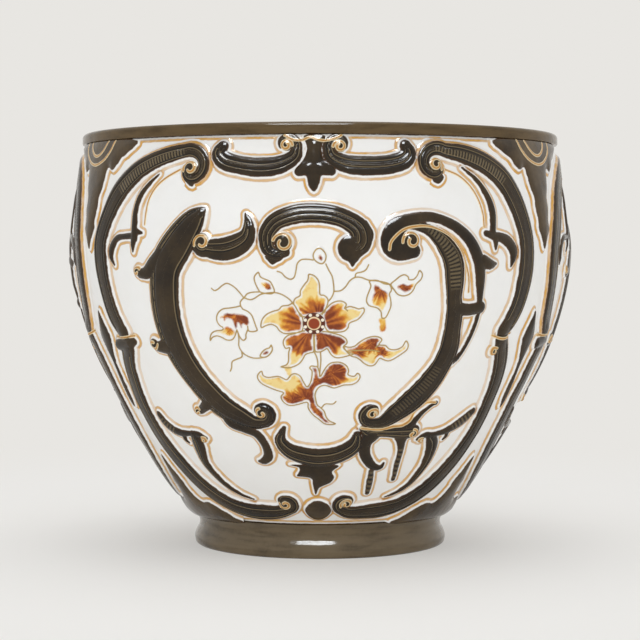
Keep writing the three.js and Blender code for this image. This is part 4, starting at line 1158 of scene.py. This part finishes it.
def makeReliefGlaze(name, tone, drift):
    # Dark glaze on the raised parts, white on their sides, and a gilded line along the foot of the sides.
    material, tree, shader = newMaterial(name)
    read = readMasks(tree, ("edge", "slot", "phase", "ribbed", "gild", "trail", "cleft", "close"))
    place = objectPlace(tree, (-1500, -1500))
    wobble = noise(tree, (-1300, -1500), place, "wobble")
    patchy = noise(tree, (-1300, -1700), place, "patchy")
    waver = 0.9  # mm that the edges stray, as drawn by hand
    hand = calc(tree, "MULTIPLY_ADD", (-1100, -1300), wobble, waver, -waver / 2)
    line = calc(tree, "ADD", (-1100, 0), read["edge"], hand)
    goldLine = calc(tree, "ADD", (-1100, 160), line, read["close"])
    dark = useGlaze(tree, (-800, 500), tone, drift)
    pale = useGlaze(tree, (-800, 250), "white", 0.7)
    # The ribs are not modelled. Their wave only sets painted highlight on the crests and painted shade in the
    # hollows, with a bump.
    wave = calc(tree, "SINE", (-1300, -360), read["phase"])
    paintedHighlight = calc(tree, "MULTIPLY_ADD", (-1100, -360), wave, 0.5, 0.5)
    crestHighlight = calc(tree, "MULTIPLY", (-900, -360), paintedHighlight, read["ribbed"])
    flat = calc(tree, "SUBTRACT", (-900, -520), read["ribbed"], crestHighlight)
    groove = bandMask(tree, (-900, -180), calc(tree, "ABSOLUTE", (-1300, -180), read["slot"]), "groove")
    glint = bandMask(tree, (-700, -180), read["slot"], "glint")
    worn = bandMask(tree, (-700, -20), line, "worn")
    body = dark["Color"]
    # Onto the dark glaze: painted shade in the rib hollows and grooves, painted highlight on the rib crests
    # and along one side of each groove, then the brown of thin glaze at the edges.
    layers = ((flat, 1.1, "groove"), (crestHighlight, 0.55, "paintedHighlight"), (glint, 0.65, "paintedHighlight"), (groove, 0.85, "groove"),
              (worn, 0.75, "brownEdge"))
    for column, (mask, share, layer) in enumerate(layers):
        amount = calc(tree, "MULTIPLY", (-650 + 150 * column, 250), mask, share)
        body = mixColour(tree, (-500 + 150 * column, 400), amount, body, glaze[layer])
    white = bandMask(tree, (-500, -20), line, "white")
    colour = mixColour(tree, (250, 300), white, body, pale["Color"])
    strength = spread(tree, (-1100, -1550), patchy, (0.28, 0.62), (0.55, 1))
    run = calc(tree, "MULTIPLY", (-500, -400), bandMask(tree, (-700, -400), goldLine, "gold"), read["gild"])
    pool = calc(tree, "MULTIPLY", (-500, -560), bandMask(tree, (-700, -560), line, "pool"), read["cleft"])
    gold = calc(tree, "MULTIPLY", (-100, -500), calc(tree, "MAXIMUM", (-300, -450), run, pool), strength)
    core = bandMask(tree, (-300, -700), goldLine, "goldCore")
    ochre = mixColour(tree, (100, -100), core, glaze["goldDeep"], glaze["gold"])
    spots = calc(tree, "MULTIPLY", (100, -300), wobble, 0.5)
    ochre = mixColour(tree, (250, -100), spots, ochre, glaze["goldDeep"])
    colour = mixColour(tree, (400, 200), gold, colour, ochre)
    halo = calc(tree, "MULTIPLY", (400, -200), bandMask(tree, (-300, -860), read["trail"], "trailPale"), 0.8)
    colour = mixColour(tree, (550, 200), halo, colour, glaze["cream"])
    colour = mixColour(tree, (700, 200), bandMask(tree, (-300, -1020), read["trail"], "trail"), colour, ochre)
    deep = calc(tree, "MULTIPLY_ADD", (250, -600), flat, -0.45, dark["Height"])
    deeper = calc(tree, "MULTIPLY_ADD", (400, -600), groove, -0.35, deep)
    finishGlaze(tree, shader, colour, dark["Roughness"], deeper, 0.4, 0.0012)
    return material


def makePlainGlaze(name, tone, specular):
    # Streaks run round the turned pieces, where the glaze was brushed on.
    material, tree, shader = newMaterial(name, {"Specular IOR Level": specular})
    place = objectPlace(tree, (-900, 0))
    pull = addNode(tree, "Mapping", (-700, 0), {"Vector": place, "Scale": (40, 40, 260)})
    streaks = noise(tree, (-500, 0), pull.outputs["Vector"], "streaks")
    body = useGlaze(tree, (-300, 200), tone, 0.66, streaks)
    finishGlaze(tree, shader, body["Color"], body["Roughness"], body["Height"], 0.2, 0.0015)
    return material


# The spray's colours: the paint from its thin ends to its roots, then what lies on it, from the bottom up.
sprayPaint = [(0.06, linear(240, 214, 144)), (0.28, linear(228, 176, 74)), (0.5, linear(200, 118, 38)),
              (0.76, linear(160, 82, 34)), (1.0, linear(124, 54, 24))]
sprayHeart = [("halo", "heart", linear(92, 42, 24)), ("bead", "bead", linear(250, 240, 220)),
              ("ring", "heart", linear(240, 214, 170)), ("disc", "heart", linear(146, 60, 26))]
spraySlip = (linear(196, 168, 104), linear(150, 118, 62))


def makeSprayGlaze(name):
    material, tree, shader = newMaterial(name)
    read = readMasks(tree, ("slip", "fill", "tone", "heart", "bead"))
    blot = noise(tree, (-1100, -950), objectPlace(tree, (-1300, -950)), "blot")
    pale = useGlaze(tree, (-700, 300), "white", 0.7)
    drift = calc(tree, "MULTIPLY_ADD", (-900, -200), blot, 2.6, -1.3)
    depth = calc(tree, "ADD", (-700, -200), read["fill"], drift)
    toned = calc(tree, "MULTIPLY_ADD", (-900, -400), blot, 0.8, read["tone"])
    eased = calc(tree, "SUBTRACT", (-700, -400), toned, 0.36)
    ramp = addNode(tree, "ValToRGB", (-500, -400), {"Fac": eased})
    stops = ramp.color_ramp.elements
    while len(stops) < len(sprayPaint):
        stops.new(0.5)
    for stop, (place, colour) in zip(stops, sprayPaint):
        stop.position = place
        stop.color = (*colour, 1)
    painted = bandMask(tree, (-500, -200), depth, "paint")
    colour = mixColour(tree, (-250, 100), painted, pale["Color"], ramp.outputs["Color"])
    for row, (label, source, tone) in enumerate(sprayHeart):
        mask = bandMask(tree, (-300, -600 - 180 * row), read[source], label)
        colour = mixColour(tree, (-100 + 150 * row, 100), mask, colour, tone)
    slip = mixColour(tree, (100, -300), blot, *spraySlip)
    colour = mixColour(tree, (550, 100), bandMask(tree, (-100, -600), read["slip"], "slip"), colour, slip)
    finishGlaze(tree, shader, colour, pale["Roughness"], pale["Height"], 0.25, 0.0012)
    return material


# The room: a wide pale floor under an even pale sky, four soft lamps, and a large one that shows only as
# glints in the glaze. Between "near" and "far" metres from the pot the floor turns to one even tone.
stage = {"half": 6.0, "colour": linear(232, 230, 226), "paper": linear(243, 241, 237),
         "near": 0.3, "far": 0.75, "even": 0.45, "sky": 0.68, "cool": (0.93, 0.95, 0.98)}
lamps = {
    "lamp_left": {"at": (-1.7, -1.5, 1.0), "aim": (0, 0, 0.15), "size": (0.8, 1.1), "power": 3.5,
                  "colour": (0.97, 0.985, 1), "shines": False},
    "lamp_right": {"at": (1.9, -1.2, 0.9), "aim": (0, 0, 0.15), "size": (0.6, 0.9), "power": 2,
                   "colour": (1, 0.99, 0.97), "shines": False},
    "lamp_low": {"at": (0.1, -2.0, 0.15), "aim": (0, 0, 0.12), "size": (1.2, 0.5), "power": 9,
                 "shines": False},
    "lamp_top": {"at": (0, 0.2, 2.4), "aim": (0, 0, 0), "size": (1.6, 1.6), "power": 18.5},
    "lamp_glint": {"at": (-0.1, -1.3, 2.0), "aim": (0, 0, 0.15), "size": (1.1, 1.2), "power": 135,
                   "colour": (0.9, 0.95, 1), "lights": False},
}
view = {"distance": 1.448, "height": 0.216, "turn": 1.7, "focus": 1950, "frame": 640, "horizon": 250,
        "sensor": 36}


def seenDirectly(tree):
    # 1 for rays that show the background: from the camera, off a glaze or through glass
    path = addNode(tree, "LightPath", (-900, 300)).outputs
    seen = calc(tree, "MAXIMUM", (-700, 300), path["Is Camera Ray"], path["Is Glossy Ray"])
    return calc(tree, "MAXIMUM", (-520, 300), seen, path["Is Transmission Ray"])


def showEither(tree, output, mask, first, second):
    mix = addNode(tree, "MixShader", (300, 0), {0: mask, 1: first.outputs[0], 2: second.outputs[0]})
    tree.links.new(mix.outputs[0], tree.nodes[output].inputs["Surface"])


def makeFloorPaint(name):
    # near the pot the floor takes its shadow; further off it has one even tone
    dull = {"Base Color": stage["paper"], "Roughness": 0.9, "Coat Weight": 0, "Specular IOR Level": 0.1}
    material, tree, shader = newMaterial(name, dull)
    place = objectPlace(tree, (-900, -200))
    reach = addNode(tree, "VectorMath", (-700, -200), {0: place}, operation="LENGTH").outputs["Value"]
    share = spread(tree, (-500, -200), reach, (stage["near"], stage["even"]), (stage["far"], 1),
                   interpolation_type="SMOOTHSTEP")
    even = addNode(tree, "Emission", (-300, -300), {"Color": stage["colour"]})
    mask = calc(tree, "MULTIPLY", (-100, 200), share, seenDirectly(tree))
    showEither(tree, "Material Output", mask, shader, even)
    return material


def makeStage():
    deselect()
    bpy.ops.mesh.primitive_circle_add(vertices=64, radius=stage["half"], fill_type="NGON")
    floor = bpy.context.object
    floor.name = "studio_floor"
    deselect()
    floor.data.materials.append(makeFloorPaint("palePaper"))


def makeSky():
    world = bpy.data.worlds.new("paleRoom")
    world.use_nodes = True
    tree = world.node_tree
    light = tree.nodes["Background"]
    feed(tree, light.inputs["Color"], stage["cool"])
    feed(tree, light.inputs["Strength"], stage["sky"])
    even = addNode(tree, "Background", (-300, -300), {"Color": stage["colour"]})
    showEither(tree, "World Output", seenDirectly(tree), light, even)
    bpy.context.scene.world = world


def makeLights():
    # "lights": it lights the surfaces; "shines": it shows as a glint in the glaze
    for name, values in lamps.items():
        bpy.ops.object.light_add(type="AREA", location=values["at"])
        lamp = bpy.context.object
        lamp.name = name
        lamp.data.shape = "RECTANGLE"
        lamp.data.size, lamp.data.size_y = values["size"]
        lamp.data.energy = values["power"]
        lamp.data.color = values.get("colour", (1, 1, 1))
        lamp.visible_diffuse = values.get("lights", True)
        lamp.visible_glossy = values.get("shines", True)
        way = Vector(values["aim"]) - Vector(values["at"])
        lamp.rotation_euler = way.to_track_quat("-Z", "Y").to_euler()
        deselect()


def makeCamera():
    turn = math.radians(view["turn"])
    tilt = math.atan((view["frame"] / 2 - view["horizon"]) / view["focus"])
    data = bpy.data.cameras.new("camera")
    camera = bpy.data.objects.new("camera", data)
    bpy.context.scene.collection.objects.link(camera)
    data.sensor_width = view["sensor"]
    data.lens = view["focus"] / view["frame"] * view["sensor"]
    camera.location = (view["distance"] * math.sin(turn), -view["distance"] * math.cos(turn), view["height"])
    camera.rotation_euler = (math.radians(90) - tilt, 0, turn)
    bpy.context.scene.camera = camera
    bpy.context.scene.view_settings.view_transform = "Standard"


makeCamera()
makeStage()
makeLights()
makeSky()
print("stage, lamps and camera are set")

finishes = {
    "umber": makeReliefGlaze("umberRelief", "umber", 1.0),
    "olive": makeReliefGlaze("oliveRelief", "olive", 1.1),
    "wall": makeReliefGlaze("whiteWall", "olive", 1.1),
    "rim": makePlainGlaze("oliveRim", "olive", 0.1),
    "foot": makePlainGlaze("oliveFoot", "foot", 0.28),
    "spray": makeSprayGlaze("paintedSpray"),
}
print("glazes are mixed")

makeWall(finishes["wall"])
makeRim(finishes["rim"])
makeFoot(finishes["foot"])
print("bowl, rim and foot are turned")

makeRelief(finishes)
makeSpray(finishes["spray"])
